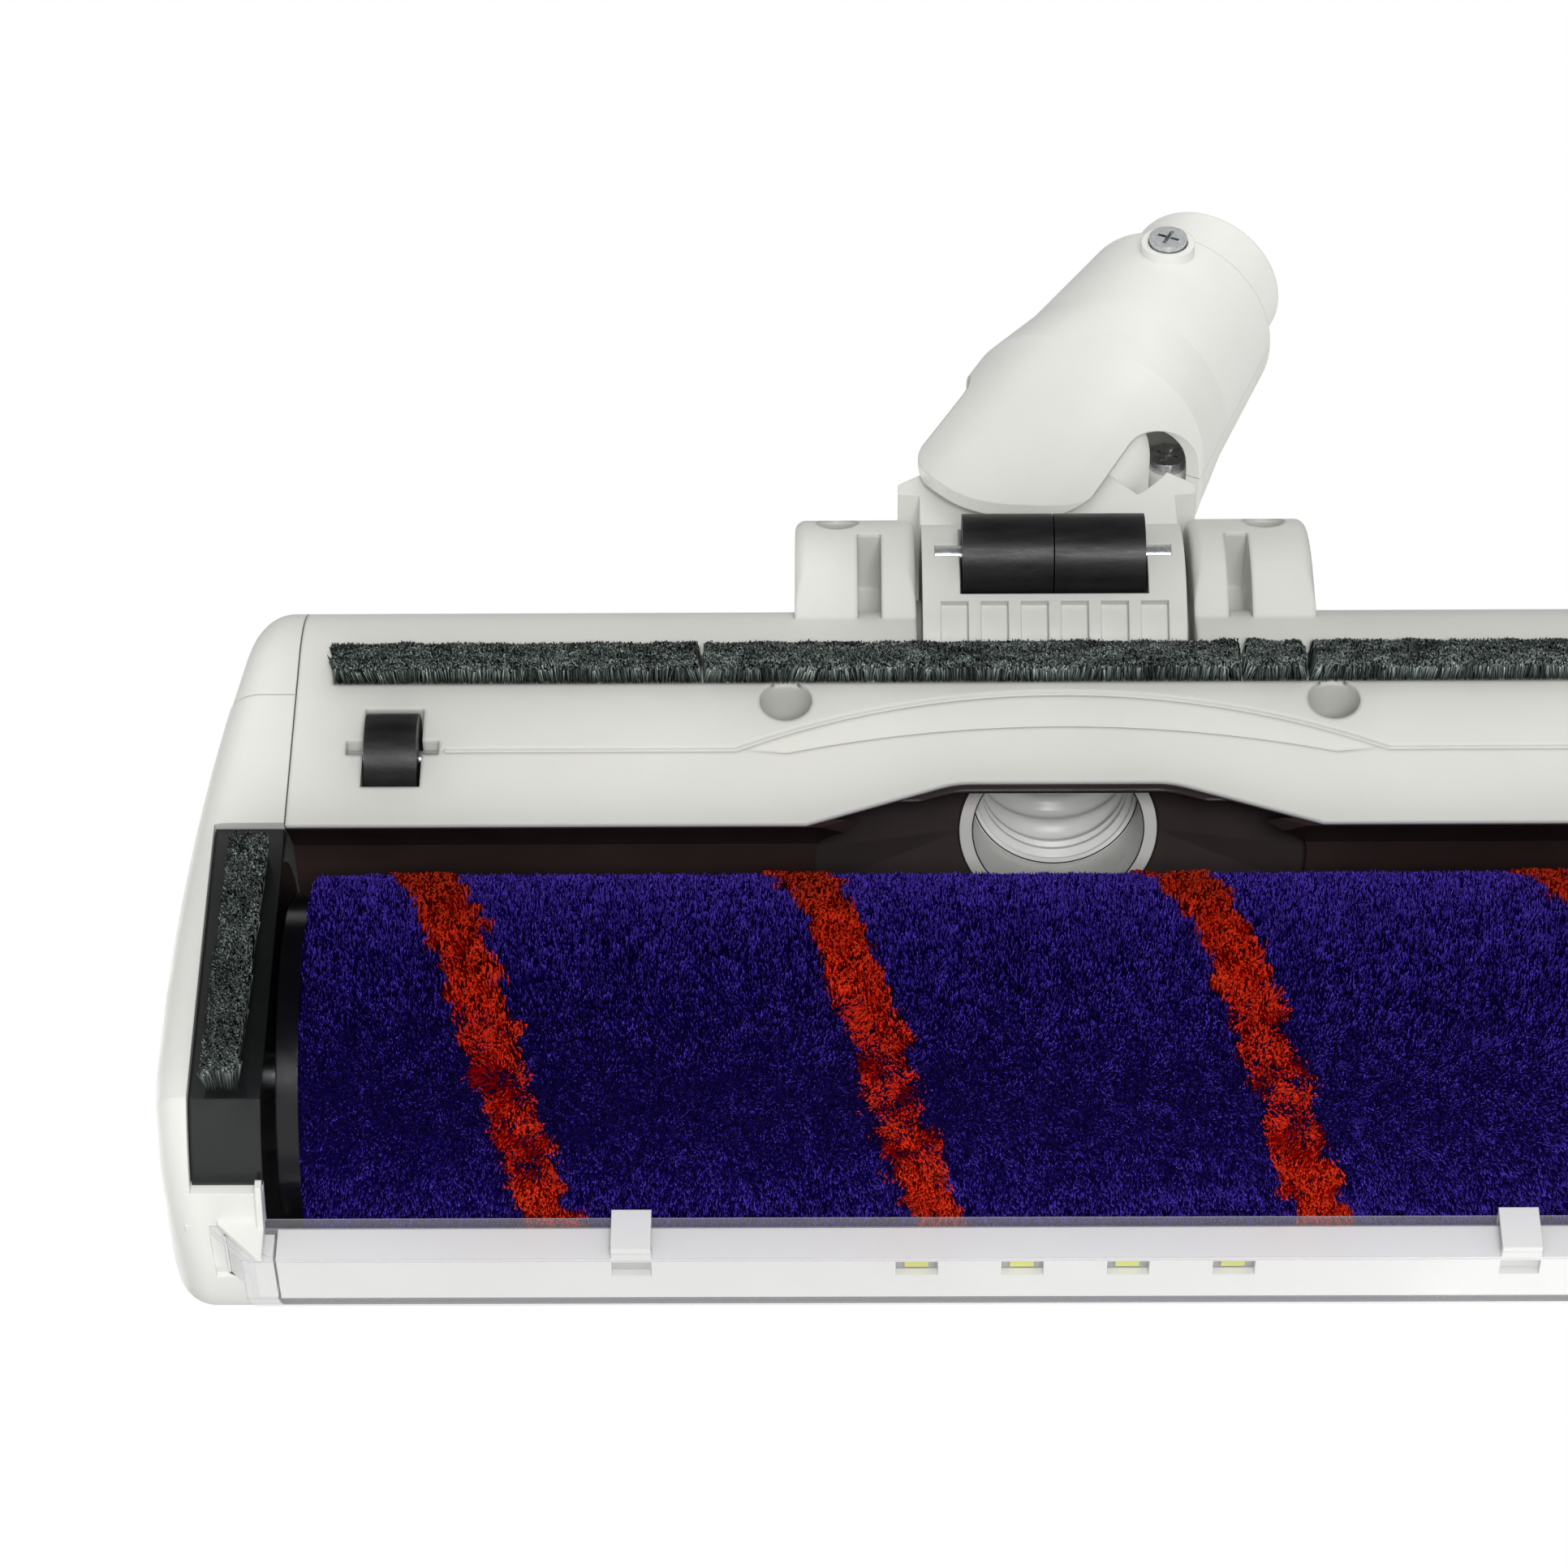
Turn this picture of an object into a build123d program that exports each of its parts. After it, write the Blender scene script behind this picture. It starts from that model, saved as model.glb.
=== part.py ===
from build123d import *
import os
from math import atan2, cos, degrees, pi, radians, sin, sqrt, tan

# Vacuum floor brush head, millimetres. X runs across the head, -Y is its front and Z is up from the floor.
# The sizes below count Y from the roller axis; the finished pieces are moved so that Y = 0 is mid-depth.

# Housing
head_width = 248.8
cap_width = 14.9        # end cap beyond its seam
wall = 2.0
seam_gap = 0.2
plate_z = 4.0           # underside above the floor
arch_r = 32.2           # outside of the hood, about the roller axis
deck_slope = 19.6       # fall of the rear deck, degrees
deck_round = 9.0
rear_y = 75.5
rear_round = 18.0
hood_edge_y = 8.0
cap_end_y = 50.0        # rear end of the end caps
widest_y = -12.0
rear_taper = 9.7        # how far the ends stand in from their widest place
nose_taper = 1.6
side_round = 5.0
corner_step = 0.7       # rear corners stand in from the end caps

# Roller and its chamber
nap_r = 28.0
core_r = 22.0
core_wall = 2.5
end_ring_r = 25.6
end_ring_width = 3.2
end_ring_gap = 1.3      # between the end ring and the seam
plug_length = 9.0
stub_r = 4.0
bearing_r = 6.5
bearing_width = 2.2
running_gap = 0.05
side_gap = 0.3          # between turning and fixed end faces
chamber_edge_y = 25.7   # front edge of the base plate
liner_wall = 1.4
liner_foot_y = 26.6
liner_knee_z = 14.0
liner_top_angle = 50.0

# Side plates with their nap strips
side_inset = 1.2
side_wall = 2.0
side_width = 9.7
side_rear_y = 26.0
side_front_z = 15.0
felt_width = 5.0
side_felt_front = (5.4, -20.0)   # from the seam, from the roller axis
side_felt_rear = (4.3, 21.7)
fin_wall = 0.9
fin_rise = 1.3
fin_z = (13.2, 20.0)
tab_width = 6.4
tab_wall = 1.0

# Rear nap strip
felt_inset = 5.3        # ends of the strip inside the seams
felt_front_y = 52.0
felt_seat = 1.0
felt_clear = 0.15

# Base plate details
arch_half = 15.2        # flat of the suction arch
arch_foot_half = 36.2
arch_depth = 7.5
arch_corner = 12.0
edge_wall = 0.6         # thin front edge, bevelled inside
edge_bevel_run = 0.9
groove_y = 39.3
groove_inset = 21.7
groove_bend_x = 46.3
groove_rise = 10.4
groove_width = 0.7
groove_depth = 0.5
scoop_half = 39.0
scoop_rise = 4.8
scoop_depth = 0.95
boss_x = 39.2
boss_y = 48.5
boss_hole_r = 3.75
boss_wall = 1.6
boss_height = 15.0
screw_head_r = 3.0
screw_head_height = 2.0
screw_r = 1.5
screw_length = 11.0
screw_recess = 10.5     # screw head above the underside

# Small wheels
wheel_inset = 14.4
wheel_y = 39.9
wheel_r = 6.5
wheel_width = 7.4
pocket_side_gap = 0.5
pocket_round_gap = 0.75
pocket_wall = 1.0
axle_r = 1.25
axle_length = 13.2

# Suction path
suction_z = 21.2
suction_pitch = 20.0    # rise of the ring's axis, degrees
funnel_width = 70.0
funnel_height = 29.0
funnel_corner = 10.0
ring_y = 38.5
ring_r = 14.25
ring_bore_r = 12.4
ring_flange = 2.5
ring_depth = 11.0
funnel_wall = 1.3
hose_r = 12.9
hose_wall = 1.0
hose_ridge = 1.1
hose_pitch = 2.2
hose_turns = 2

# Light bar and lens
bar_inset = 1.5
bar_z = 21.8
bar_top_z = 31.0
bar_front_y = -35.7
bar_rear_y = -30.7
bar_wall = 1.2
lens_wall = 1.2
lens_clear = 0.1
lens_overhang = 7.5     # lens beyond the seam
lens_corner = 5.5
lens_lip = 0.7
clip_x = 60.0
clip_width = 5.4
clip_wall = 0.8
led_pitch = 14.28
led_count = 4
led_window = (5.7, 3.2)
led_size = (3.2, 1.0, 2.6)
led_z = 24.3
board_wall = 1.0
board_half_length = 32.0

# Drive
motor_y = 42.6
motor_z = 28.5
motor_r = 10.5
motor_inner_x = 54.0
motor_inset = 6.5
motor_shaft_r = 1.6
motor_nose_r = 5.0
motor_nose = 2.0
motor_vent_r = 2.2
motor_vents = 5
bracket_wall = 1.6
cradle_x = (60.0, 82.0)  # ribs under the motor
cradle_wall = 2.0
roller_pulley_r = 12.6
motor_pulley_r = 5.6
belt_offset = 5.1       # middle of the belt beyond the seam
belt_width = 2.8
belt_wall = 1.2
belt_gap = 0.3
flange_rise = 1.7
flange_wall = 0.8

# Rear lugs and tilting yoke
tilt_y = 75.0
tilt_z = 24.0
tilt_rest = 9.0         # neck above the horizontal as it lies, degrees
lug_r = 20.0
lug_inner_x = 20.3
lug_outer_x = 38.0
lug_round = 1.6
lug_screw_x = 31.7
lug_screw_y = 87.0
lug_hole_r = 3.1
lug_slot_x = (25.3, 28.8)
lug_slot_y = (60.0, 82.0)
lug_slot_top = 17.0
trunnion_r = 8.0
trunnion_length = 4.5
barrel_r = 19.3
barrel_half = 19.3
barrel_clear = 0.6
barrel_notch_y = 59.8
passage_r = 11.6
shoulder_half = 22.5
shoulder_start = 21.0
shoulder_end = 23.2
shoulder_height = 14.0
web_half_angle = 40.0

# Rear rollers
rear_wheel_r = 6.1
rear_wheel_offset = 0.7
rear_wheel_half = 13.4
rear_wheel_gap = 0.2
rear_axle_r = 1.4
rear_axle_half = 17.4
rear_pocket_gap = 0.8
rear_pocket_front = 8.4
rib_pocket_width = 4.0
rib_pocket_pitch = 5.85
rib_pocket_count = 6
rib_pocket_depth = 1.6
rib_pocket_angles = (38.0, 63.0)

# Swivelling neck, along its own axis from the swivel point
swivel_distance = 37.0
swing_rest = 26.0       # turned to the -X side as it lies, degrees
dome_r = 16.5
dome_half_height = 14.6
dome_round = 5.0
pivot_r = 4.0
pivot_rise = 2.9
neck_wall = 2.4
skirt_end = -25.8
skirt_half_width = 19.0
skirt_half_height = 18.7
skirt_corner = 13.5
waist_y = 17.0
waist_half_width = 20.0
waist_corner = 15.5
cone_y = 30.0
cone_r = 18.6
collar_y = 53.5
collar_r = 16.6
notch_apex = 16.0
notch_r = 15.4
tongue_round = 14.3
tongue_half = 14.4
spigot_r = 13.0
spigot_wall = 1.8
spigot_step = 0.5       # stop groove between spigot and collar
stop_gap = 0.5
spigot_end = 66.0
spigot_root = 38.0
lock_hole_r = 1.4
lock_hole_y = 56.5
lock_hole_angle = 24.0
neck_screw_y = 48.6
neck_boss_r = 4.3
neck_boss_rise = 0.9
notch_screw = (-12.6, 20.4)
notch_boss_r = 3.9
notch_boss_z = 2.5
contact_width = 9.0
contact_height = 5.0
contact_length = 14.0
pin_r = 1.1
pin_pitch = 4.6
pin_rise = 1.5

slope = radians(deck_slope)
half_width = head_width / 2
seam_x = half_width - cap_width
nap_half_length = seam_x - end_ring_gap - end_ring_width
side_outer_x = seam_x + side_width
felt_half_length = seam_x - felt_inset
groove_end_x = seam_x - groove_inset
wheel_x = seam_x - wheel_inset
bar_half_length = seam_x - bar_inset
lens_half_length = seam_x + lens_overhang
motor_outer_x = seam_x - motor_inset
belt_x = seam_x + belt_offset
roller_z = nap_r
chamber_r = arch_r - wall
band_x = seam_x - seam_gap / 2
parting_z = tilt_z      # base plate below, top shell above
funnel_y = chamber_r + liner_wall
floor_z = plate_z + wall + felt_seat


# Shapes used again and again
def block(x, y, z):
    size = Box(x[1] - x[0], y[1] - y[0], z[1] - z[0], align=(Align.MIN, Align.MIN, Align.MIN))
    return Pos(x[0], y[0], z[0]) * size


def x_rod(radius, x, y, z):
    rod = Cylinder(radius, x[1] - x[0], align=(Align.CENTER, Align.CENTER, Align.MIN))
    return Pos(x[0], y, z) * Rot(0, 90, 0) * rod


def z_rod(radius, x, y, z):
    rod = Cylinder(radius, z[1] - z[0], align=(Align.CENTER, Align.CENTER, Align.MIN))
    return Pos(x, y, z[0]) * rod


def y_rod(radius, x, y, z):
    rod = Cylinder(radius, y[1] - y[0], align=(Align.CENTER, Align.CENTER, Align.MIN))
    return Pos(x, y[0], z) * Rot(-90, 0, 0) * rod


def mirrored(shape):
    return mirror(shape, about=Plane.YZ)


def both_sides(shape):
    return shape + mirrored(shape)


def across(face, x):
    return Pos(x[0], 0, 0) * extrude(Plane.YZ * face, x[1] - x[0])


def on_circle(centre, radius, angle):
    return (centre[0] + radius * cos(angle), centre[1] + radius * sin(angle))


# Head outline across X: hood arch, falling deck, rear wall, rounded rear corner, flat underside
def body_section(inset):
    radius = arch_r - inset
    low = plate_z + inset
    back = rear_y - inset
    arch_start = (-sqrt(radius ** 2 - (roller_z - low) ** 2), low)
    arch_front = (-radius, roller_z)
    arch_end = (radius * sin(slope), roller_z + radius * cos(slope))
    corner_z = roller_z + (radius - back * sin(slope)) / cos(slope)
    turn = pi / 2 - slope
    corner_r = deck_round - inset
    tangent = corner_r * tan(turn / 2)
    deck_end = (back - tangent * cos(slope), corner_z + tangent * sin(slope))
    wall_top = (back, corner_z - tangent)
    corner_middle = on_circle((back - corner_r, corner_z - tangent), corner_r, turn / 2)
    wall_low = (back, plate_z + rear_round)
    foot_centre = (rear_y - rear_round, plate_z + rear_round)
    foot_middle = on_circle(foot_centre, rear_round - inset, -pi / 4)
    foot = (foot_centre[0], low)
    edges = [
        ThreePointArc(arch_start, arch_front, arch_end),
        Line(arch_end, deck_end),
        ThreePointArc(deck_end, corner_middle, wall_top),
        Line(wall_top, wall_low),
        ThreePointArc(wall_low, foot_middle, foot),
        Line(foot, arch_start),
    ]
    return make_face(edges)


# Head outline seen from above: bowed ends that are widest beside the roller
def end_arc_radius(run, taper):
    return (run ** 2 + taper ** 2) / (2 * taper)


def end_x(y, inset):
    if y > widest_y:
        radius = end_arc_radius(rear_y - widest_y, rear_taper)
    else:
        radius = end_arc_radius(widest_y + arch_r, nose_taper)
    return half_width - radius + sqrt((radius - inset) ** 2 - (y - widest_y) ** 2)


def plan_face(inset):
    back = rear_y + wall
    front = -arch_r - wall
    edges = []
    for side in (1, -1):
        rear_point = (side * end_x(back, inset), back)
        rear_middle = (side * end_x((back + widest_y) / 2, inset), (back + widest_y) / 2)
        widest = (side * (half_width - inset), widest_y)
        nose_middle = (side * end_x((front + widest_y) / 2, inset), (front + widest_y) / 2)
        nose = (side * end_x(front, inset), front)
        edges += [ThreePointArc(rear_point, rear_middle, widest), ThreePointArc(widest, nose_middle, nose)]
    for y in (back, front):
        edges.append(Line((-end_x(y, inset), y), (end_x(y, inset), y)))
    return make_face(edges)


def head_body(inset):
    tube = across(body_section(inset), (-half_width, half_width))
    return tube & extrude(plan_face(inset), roller_z + arch_r + wall)


head_top = roller_z + arch_r
everywhere = (-half_width, half_width)
all_depth = (-arch_r - wall, rear_y + wall)


def rounded_body(inset):
    body = head_body(inset)
    sides = body.edges().filter_by(lambda e: abs(e.center().X) > seam_x)
    return fillet(sides, side_round - inset)


shell = rounded_body(0) - rounded_body(wall)


# Rear lugs: round about the tilt axis, split between base plate and top shell
def lug():
    round_end = x_rod(lug_r, (lug_inner_x, lug_outer_x), tilt_y, tilt_z)
    root = block((lug_inner_x, lug_outer_x), (tilt_y - lug_r, tilt_y), (tilt_z - lug_r, tilt_z + lug_r))
    solid = round_end + root
    sides = solid.edges().filter_by(lambda e: abs(e.center().Y - tilt_y) > lug_r / 4)
    solid = fillet(sides.filter_by(GeomType.CIRCLE), lug_round)
    return solid


lug_solid = lug() & head_body(0).fuse(x_rod(lug_r, (lug_inner_x, lug_outer_x), tilt_y, tilt_z))
lug_solid -= z_rod(screw_r, lug_screw_x, lug_screw_y, (0, tilt_z + lug_r / 3))
lower_lug = lug_solid & block((0, half_width), (0, tilt_y + lug_r), (0, parting_z))
lower_lug -= z_rod(lug_hole_r, lug_screw_x, lug_screw_y, (0, tilt_z - lug_r / 3))
lower_lug -= block(lug_slot_x, lug_slot_y, (0, lug_slot_top))
upper_lug = lug_solid & block((0, half_width), (0, tilt_y + lug_r), (parting_z + seam_gap, head_top))
saddle = x_rod(trunnion_r + running_gap, (lug_inner_x, lug_inner_x + trunnion_length), tilt_y, tilt_z)
barrel_room = both_sides(saddle)
barrel_room += x_rod(barrel_r + barrel_clear, (-lug_inner_x, lug_inner_x), tilt_y, tilt_z)
barrel_room += block((-lug_inner_x, lug_inner_x), (tilt_y, tilt_y + lug_r), (0, head_top))


# Base plate
def small_wheel_box():
    outer_half = axle_length / 2 + pocket_wall
    half_length = wheel_r + pocket_round_gap + pocket_wall
    top = 2 * wheel_r + pocket_round_gap + pocket_wall
    return block((wheel_x - outer_half, wheel_x + outer_half), (wheel_y - half_length, wheel_y + half_length),
                 (plate_z, top))


def small_wheel_pocket():
    half = wheel_width / 2 + pocket_side_gap
    half_length = wheel_r + pocket_round_gap
    room = block((wheel_x - half, wheel_x + half), (wheel_y - half_length, wheel_y + half_length),
                 (0, 2 * wheel_r + pocket_round_gap))
    slot_r = axle_r + running_gap
    slot_x = (wheel_x - axle_length / 2, wheel_x + axle_length / 2)
    slot = block(slot_x, (wheel_y - slot_r, wheel_y + slot_r), (0, wheel_r))
    return room + slot + x_rod(slot_r, slot_x, wheel_y, wheel_r)


# Everything in front of the base plate, with the arch that clears the suction opening
def front_area(extra):
    edge = chamber_edge_y + extra
    arch = edge + arch_depth
    points = [
        (-half_width, 0),
        (-half_width, edge),
        (-arch_foot_half, edge),
        (-arch_half, arch),
        (arch_half, arch),
        (arch_foot_half, edge),
        (half_width, edge),
        (half_width, 0),
    ]
    face = make_face(Polyline(*points, close=True))
    return fillet(face.vertices().filter_by(lambda v: v.Y > edge + arch_depth / 2), arch_corner)


def groove_path():
    bend = (groove_bend_x, groove_y)
    crest = ThreePointArc((-bend[0], bend[1]), (0, groove_y + groove_rise), bend)
    left = Line((-groove_end_x, groove_y), (-bend[0], bend[1]))
    right = Line(bend, (groove_end_x, groove_y))
    return [left, crest, right]


# Soft recess that fades out at the groove's crest and is deepest at the lip of the arch
def scoop():
    foot = groove_y - groove_width
    crest_y = groove_y + groove_rise
    lip_y = foot + scoop_rise
    ends = [(-scoop_half, foot), (scoop_half, foot)]
    bends = [(-groove_bend_x, groove_y), (groove_bend_x, groove_y)]
    edges = [
        ThreePointArc(ends[0], (0, lip_y), ends[1]),
        Line(ends[1], bends[1]),
        ThreePointArc(bends[1], (0, crest_y), bends[0]),
        Line(bends[0], ends[0]),
    ]
    region = extrude(make_face(edges), plate_z + 2 * scoop_depth)
    slope = scoop_depth / (crest_y - lip_y)
    bow_r = groove_bend_x ** 2 / (2 * slope * groove_rise)
    bow = Cylinder(bow_r, 2 * groove_bend_x, rotation=(90, 0, 0))
    lean = degrees(atan2(slope, 1))
    return region & (Pos(0, crest_y, plate_z) * Rot(-lean, 0, 0) * Pos(0, 0, -bow_r) * bow)


def base_plate():
    plate = shell & block((-band_x, band_x), (chamber_edge_y, rear_y + wall), (0, parting_z))
    plate += both_sides(lower_lug)
    plate += both_sides(small_wheel_box())
    boss = z_rod(boss_hole_r + boss_wall, boss_x, boss_y, (plate_z, plate_z + boss_height))
    plate += both_sides(boss)
    for rib in motor_cradle().solids():
        plate += rib
    seat = block((-felt_half_length - felt_clear, felt_half_length + felt_clear),
                 (felt_front_y, felt_front_y + felt_width), (plate_z, plate_z + felt_seat + wall))
    plate += seat
    plate -= extrude(front_area(0), parting_z)
    bevel = wall - edge_wall
    bevel_angle = degrees(atan2(edge_bevel_run, bevel))
    plate -= Pos(0, 0, plate_z + edge_wall) * extrude(front_area(0), bevel, taper=-bevel_angle)
    plate -= both_sides(small_wheel_pocket())
    counterbore = z_rod(boss_hole_r, boss_x, boss_y, (0, plate_z + screw_recess))
    shank_hole = z_rod(screw_r, boss_x, boss_y, (0, plate_z + boss_height))
    plate -= both_sides(counterbore + shank_hole)
    plate -= block((-felt_half_length - felt_clear, felt_half_length + felt_clear),
                   (felt_front_y - felt_clear, felt_front_y + felt_width + felt_clear),
                   (0, plate_z + felt_seat))
    plate -= barrel_room
    plate -= block((-lug_inner_x, lug_inner_x), (barrel_notch_y, tilt_y), (0, parting_z))
    plate -= extrude(trace(groove_path(), groove_width), plate_z + groove_depth)
    plate -= scoop()
    return plate


# Shells above the base plate
def top_shell():
    height = (parting_z + seam_gap, head_top)
    behind_hood = block((-band_x, band_x), (hood_edge_y, all_depth[1]), height)
    bridge = block(everywhere, (cap_end_y + seam_gap, all_depth[1]), height)
    corner = block((band_x + seam_gap, half_width), (cap_end_y + seam_gap, all_depth[1]), (0, head_top))
    top = shell & (behind_hood + bridge + both_sides(corner))
    top &= extrude(plan_face(corner_step), head_top)
    post = z_rod(boss_hole_r, boss_x, boss_y, (plate_z + boss_height + seam_gap, head_top))
    post &= head_body(wall / 2)
    post -= z_rod(screw_r, boss_x, boss_y, (0, plate_z + screw_recess + screw_length))
    top += both_sides(post)
    top += both_sides(upper_lug)
    return top - barrel_room


def roller_hood():
    depth = (all_depth[0], hood_edge_y - seam_gap)
    return shell & block((-band_x, band_x), depth, (bar_top_z + seam_gap, head_top))


def end_cap():
    cap = shell & block((band_x + seam_gap, half_width), (all_depth[0], cap_end_y), (0, head_top))
    cap -= block((0, side_outer_x + seam_gap), (all_depth[0], side_rear_y + seam_gap),
                 (0, side_front_z + seam_gap))
    lens_room = lens_half_length + seam_gap
    cap -= block((0, lens_room), (all_depth[0], bar_rear_y + lens_wall),
                 (lens_bottom - seam_gap, bar_top_z + seam_gap))
    return cap + corner_tab() + corner_fin()


# White tab under the clear end of the lens, and the fin beside it
def corner_tab():
    inner = band_x + seam_gap
    outer = inner + tab_width
    points = [
        (inner, bar_rear_y), (inner, lens_front_y), (outer - lens_corner, lens_front_y),
        (outer, lens_front_y + lens_corner), (outer, bar_rear_y),
    ]
    tab = extrude(make_face(Polyline(*points, close=True)), tab_wall)
    return Pos(0, 0, lens_bottom - seam_gap - tab_wall) * tab


def corner_fin():
    inner = band_x + seam_gap
    rim = across(body_section(-fin_rise) - body_section(0), (inner, inner + fin_wall))
    return rim & block(everywhere, (all_depth[0], bar_rear_y + fin_rise + wall), fin_z)


# Dark wall of the roller chamber, from under the deck down to the base plate
def chamber_liner():
    start = radians(liner_top_angle)
    outer_r = chamber_r + liner_wall
    axis = (0, roller_z)
    foot_z = plate_z + wall
    inner_top = on_circle(axis, chamber_r, start)
    outer_top = on_circle(axis, outer_r, start)
    edges = [
        ThreePointArc(inner_top, on_circle(axis, chamber_r, start / 2), (chamber_r, roller_z)),
        Line((chamber_r, roller_z), (chamber_r, liner_knee_z)),
        Line((chamber_r, liner_knee_z), (liner_foot_y, foot_z)),
        Line((liner_foot_y, foot_z), (liner_foot_y + liner_wall, foot_z)),
        Line((liner_foot_y + liner_wall, foot_z), (outer_r, liner_knee_z)),
        Line((outer_r, liner_knee_z), (outer_r, roller_z)),
        ThreePointArc((outer_r, roller_z), on_circle(axis, outer_r, start / 2), outer_top),
        Line(outer_top, inner_top),
    ]
    liner = across(make_face(edges), (-band_x, band_x))
    opening = extrude(rising(0, 0) * RectangleRounded(funnel_width, funnel_height, funnel_corner), ring_y)
    arch_room = extrude(front_area(seam_gap), suction_z)
    arch_room &= block((-arch_foot_half, arch_foot_half), (0, ring_y), (0, suction_z))
    return liner - opening - arch_room


# Plane across the suction path, its normal rising towards the back
def rising(y, pitch):
    normal = (0, cos(radians(pitch)), sin(radians(pitch)))
    return Plane(origin=(0, y, suction_z), x_dir=(1, 0, 0), z_dir=normal)


def funnel_mouth(extra):
    width = funnel_width + 2 * extra
    height = funnel_height + 2 * extra
    return rising(funnel_y, 0) * RectangleRounded(width, height, funnel_corner + extra)


def funnel_body(extra):
    throat_r = ring_r + seam_gap + extra
    throat = rising(ring_y, suction_pitch) * RectangleRounded(2 * throat_r, 2 * throat_r, throat_r - seam_gap)
    return loft([funnel_mouth(extra), throat])


# The base plate closes the funnel's foot, so the funnel stops above it and behind its arch
def suction_funnel():
    funnel = extrude(funnel_mouth(funnel_wall), funnel_wall)
    funnel += Pos(0, funnel_wall, 0) * funnel_body(funnel_wall)
    funnel -= funnel_body(0)
    funnel -= extrude(rising(ring_y, suction_pitch) * Circle(ring_r + seam_gap), ring_flange)
    funnel -= extrude(front_area(seam_gap), suction_z)
    return funnel - block(everywhere, all_depth, (0, plate_z + wall + seam_gap))


def suction_ring():
    across_path = rising(ring_y, suction_pitch)
    ring = extrude(across_path * Circle(ring_r), ring_flange)
    ring += extrude(across_path * Circle(ring_bore_r + hose_wall), ring_depth)
    return ring - extrude(across_path * Circle(ring_bore_r), ring_depth)


def suction_hose():
    start = ring_depth
    points = [(ring_bore_r - hose_wall, start), (ring_bore_r, start)]
    for turn in range(hose_turns):
        foot = start + turn * hose_pitch
        points.append((hose_r, foot + hose_pitch / 4))
        points.append((hose_r, foot + hose_pitch / 2))
        points.append((hose_r - hose_ridge, foot + 3 * hose_pitch / 4))
        points.append((hose_r - hose_ridge, foot + hose_pitch))
    inside = [(x - hose_wall, y) for x, y in points[:1:-1]]
    face = make_face(Polyline(*points[1:], *inside, points[0], close=True))
    return Pos(0, ring_y, suction_z) * Rot(suction_pitch, 0, 0) * revolve(face, Axis.Y)


# Plates under the roller's ends, each with a bearing seat
def side_plate():
    outer = body_section(side_inset) - body_section(side_inset + side_wall)
    region = block((band_x + seam_gap, side_outer_x), (all_depth[0], side_rear_y), (0, side_front_z))
    plate = across(outer, everywhere) & region
    inner_x = band_x + seam_gap
    disc = across(body_section(side_inset), (inner_x, inner_x + side_wall))
    plate += disc & x_rod(chamber_r - seam_gap, (inner_x, inner_x + side_wall), 0, roller_z)
    plate += x_rod(bearing_r + side_wall, (inner_x, inner_x + bearing_width), 0, roller_z)
    return plate - x_rod(bearing_r, (inner_x, inner_x + bearing_width), 0, roller_z)


def bearing():
    inner_x = band_x + seam_gap
    ring = x_rod(bearing_r, (inner_x, inner_x + bearing_width), 0, roller_z)
    return ring - x_rod(stub_r + running_gap, (inner_x, inner_x + bearing_width), 0, roller_z)


def side_felt():
    ends = [(seam_x + x, y) for x, y in (side_felt_front, side_felt_rear)]
    return extrude(trace(Line(*ends), felt_width), plate_z + side_inset)


def rear_felt():
    return block((-felt_half_length, felt_half_length), (felt_front_y, felt_front_y + felt_width),
                 (0, plate_z + felt_seat))


# Light bar across the front with its clear lens
def along_lens(y, z):
    return block((-bar_half_length, bar_half_length), y, z)


def light_bar():
    bar = along_lens((bar_front_y, bar_rear_y), (bar_z, bar_top_z))
    room = block((-bar_half_length + bar_wall, bar_half_length - bar_wall),
                 (bar_front_y + bar_wall, bar_rear_y - bar_wall), (bar_z + bar_wall, bar_top_z))
    bar -= room
    for x in led_x:
        bar -= block((x - led_window[0] / 2, x + led_window[0] / 2), (bar_front_y, bar_front_y + bar_wall),
                     (led_z - led_window[1] / 2, led_z + led_window[1] / 2))
    for x in (-clip_x, clip_x):
        side = (x - clip_width / 2, x + clip_width / 2)
        hook = (lens_rear_y, lens_rear_y + clip_wall)
        root = (bar_front_y, bar_front_y + bar_wall)
        bar += block(side, (root[0], hook[1]), (lens_bottom - clip_wall, lens_bottom))
        bar += block(side, hook, (lens_bottom - clip_wall, bar_z + bar_wall))
        bar += block(side, root, (lens_bottom - clip_wall, bar_z))
        bar -= block(side, root, (led_z - led_window[1] / 2, led_z + led_window[1] / 2))
    return bar


def light_lens():
    front = lens_front_y
    end = lens_half_length
    points = [
        (-end, lens_rear_y), (-end, front + lens_corner), (-end + lens_corner, front),
        (end - lens_corner, front), (end, front + lens_corner), (end, lens_rear_y),
    ]
    outline = extrude(make_face(Polyline(*points, close=True)), bar_top_z)
    lens = outline & block(everywhere, (front, lens_rear_y), (lens_bottom, bar_top_z))
    lens -= block(everywhere, (bar_front_y - lens_clear, bar_rear_y + lens_clear),
                  (bar_z - lens_clear, bar_top_z))
    lens -= block(everywhere, (bar_rear_y, 0), (bar_z + lens_wall, bar_top_z))
    for x in (-clip_x, clip_x):
        side = (x - clip_width / 2 - lens_clear, x + clip_width / 2 + lens_clear)
        lens -= block(side, (bar_front_y - lens_clear, bar_front_y + bar_wall + lens_clear), (0, bar_z))
    return lens


def led_board():
    front = bar_front_y + bar_wall + led_size[1]
    return block((-board_half_length, board_half_length), (front, front + board_wall),
                 (bar_z + bar_wall, bar_top_z - bar_wall))


def leds():
    front = bar_front_y + bar_wall
    chips = [block((x - led_size[0] / 2, x + led_size[0] / 2), (front, front + led_size[1]),
                   (led_z - led_size[2] / 2, led_z + led_size[2] / 2)) for x in led_x]
    return Compound(chips)


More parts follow.
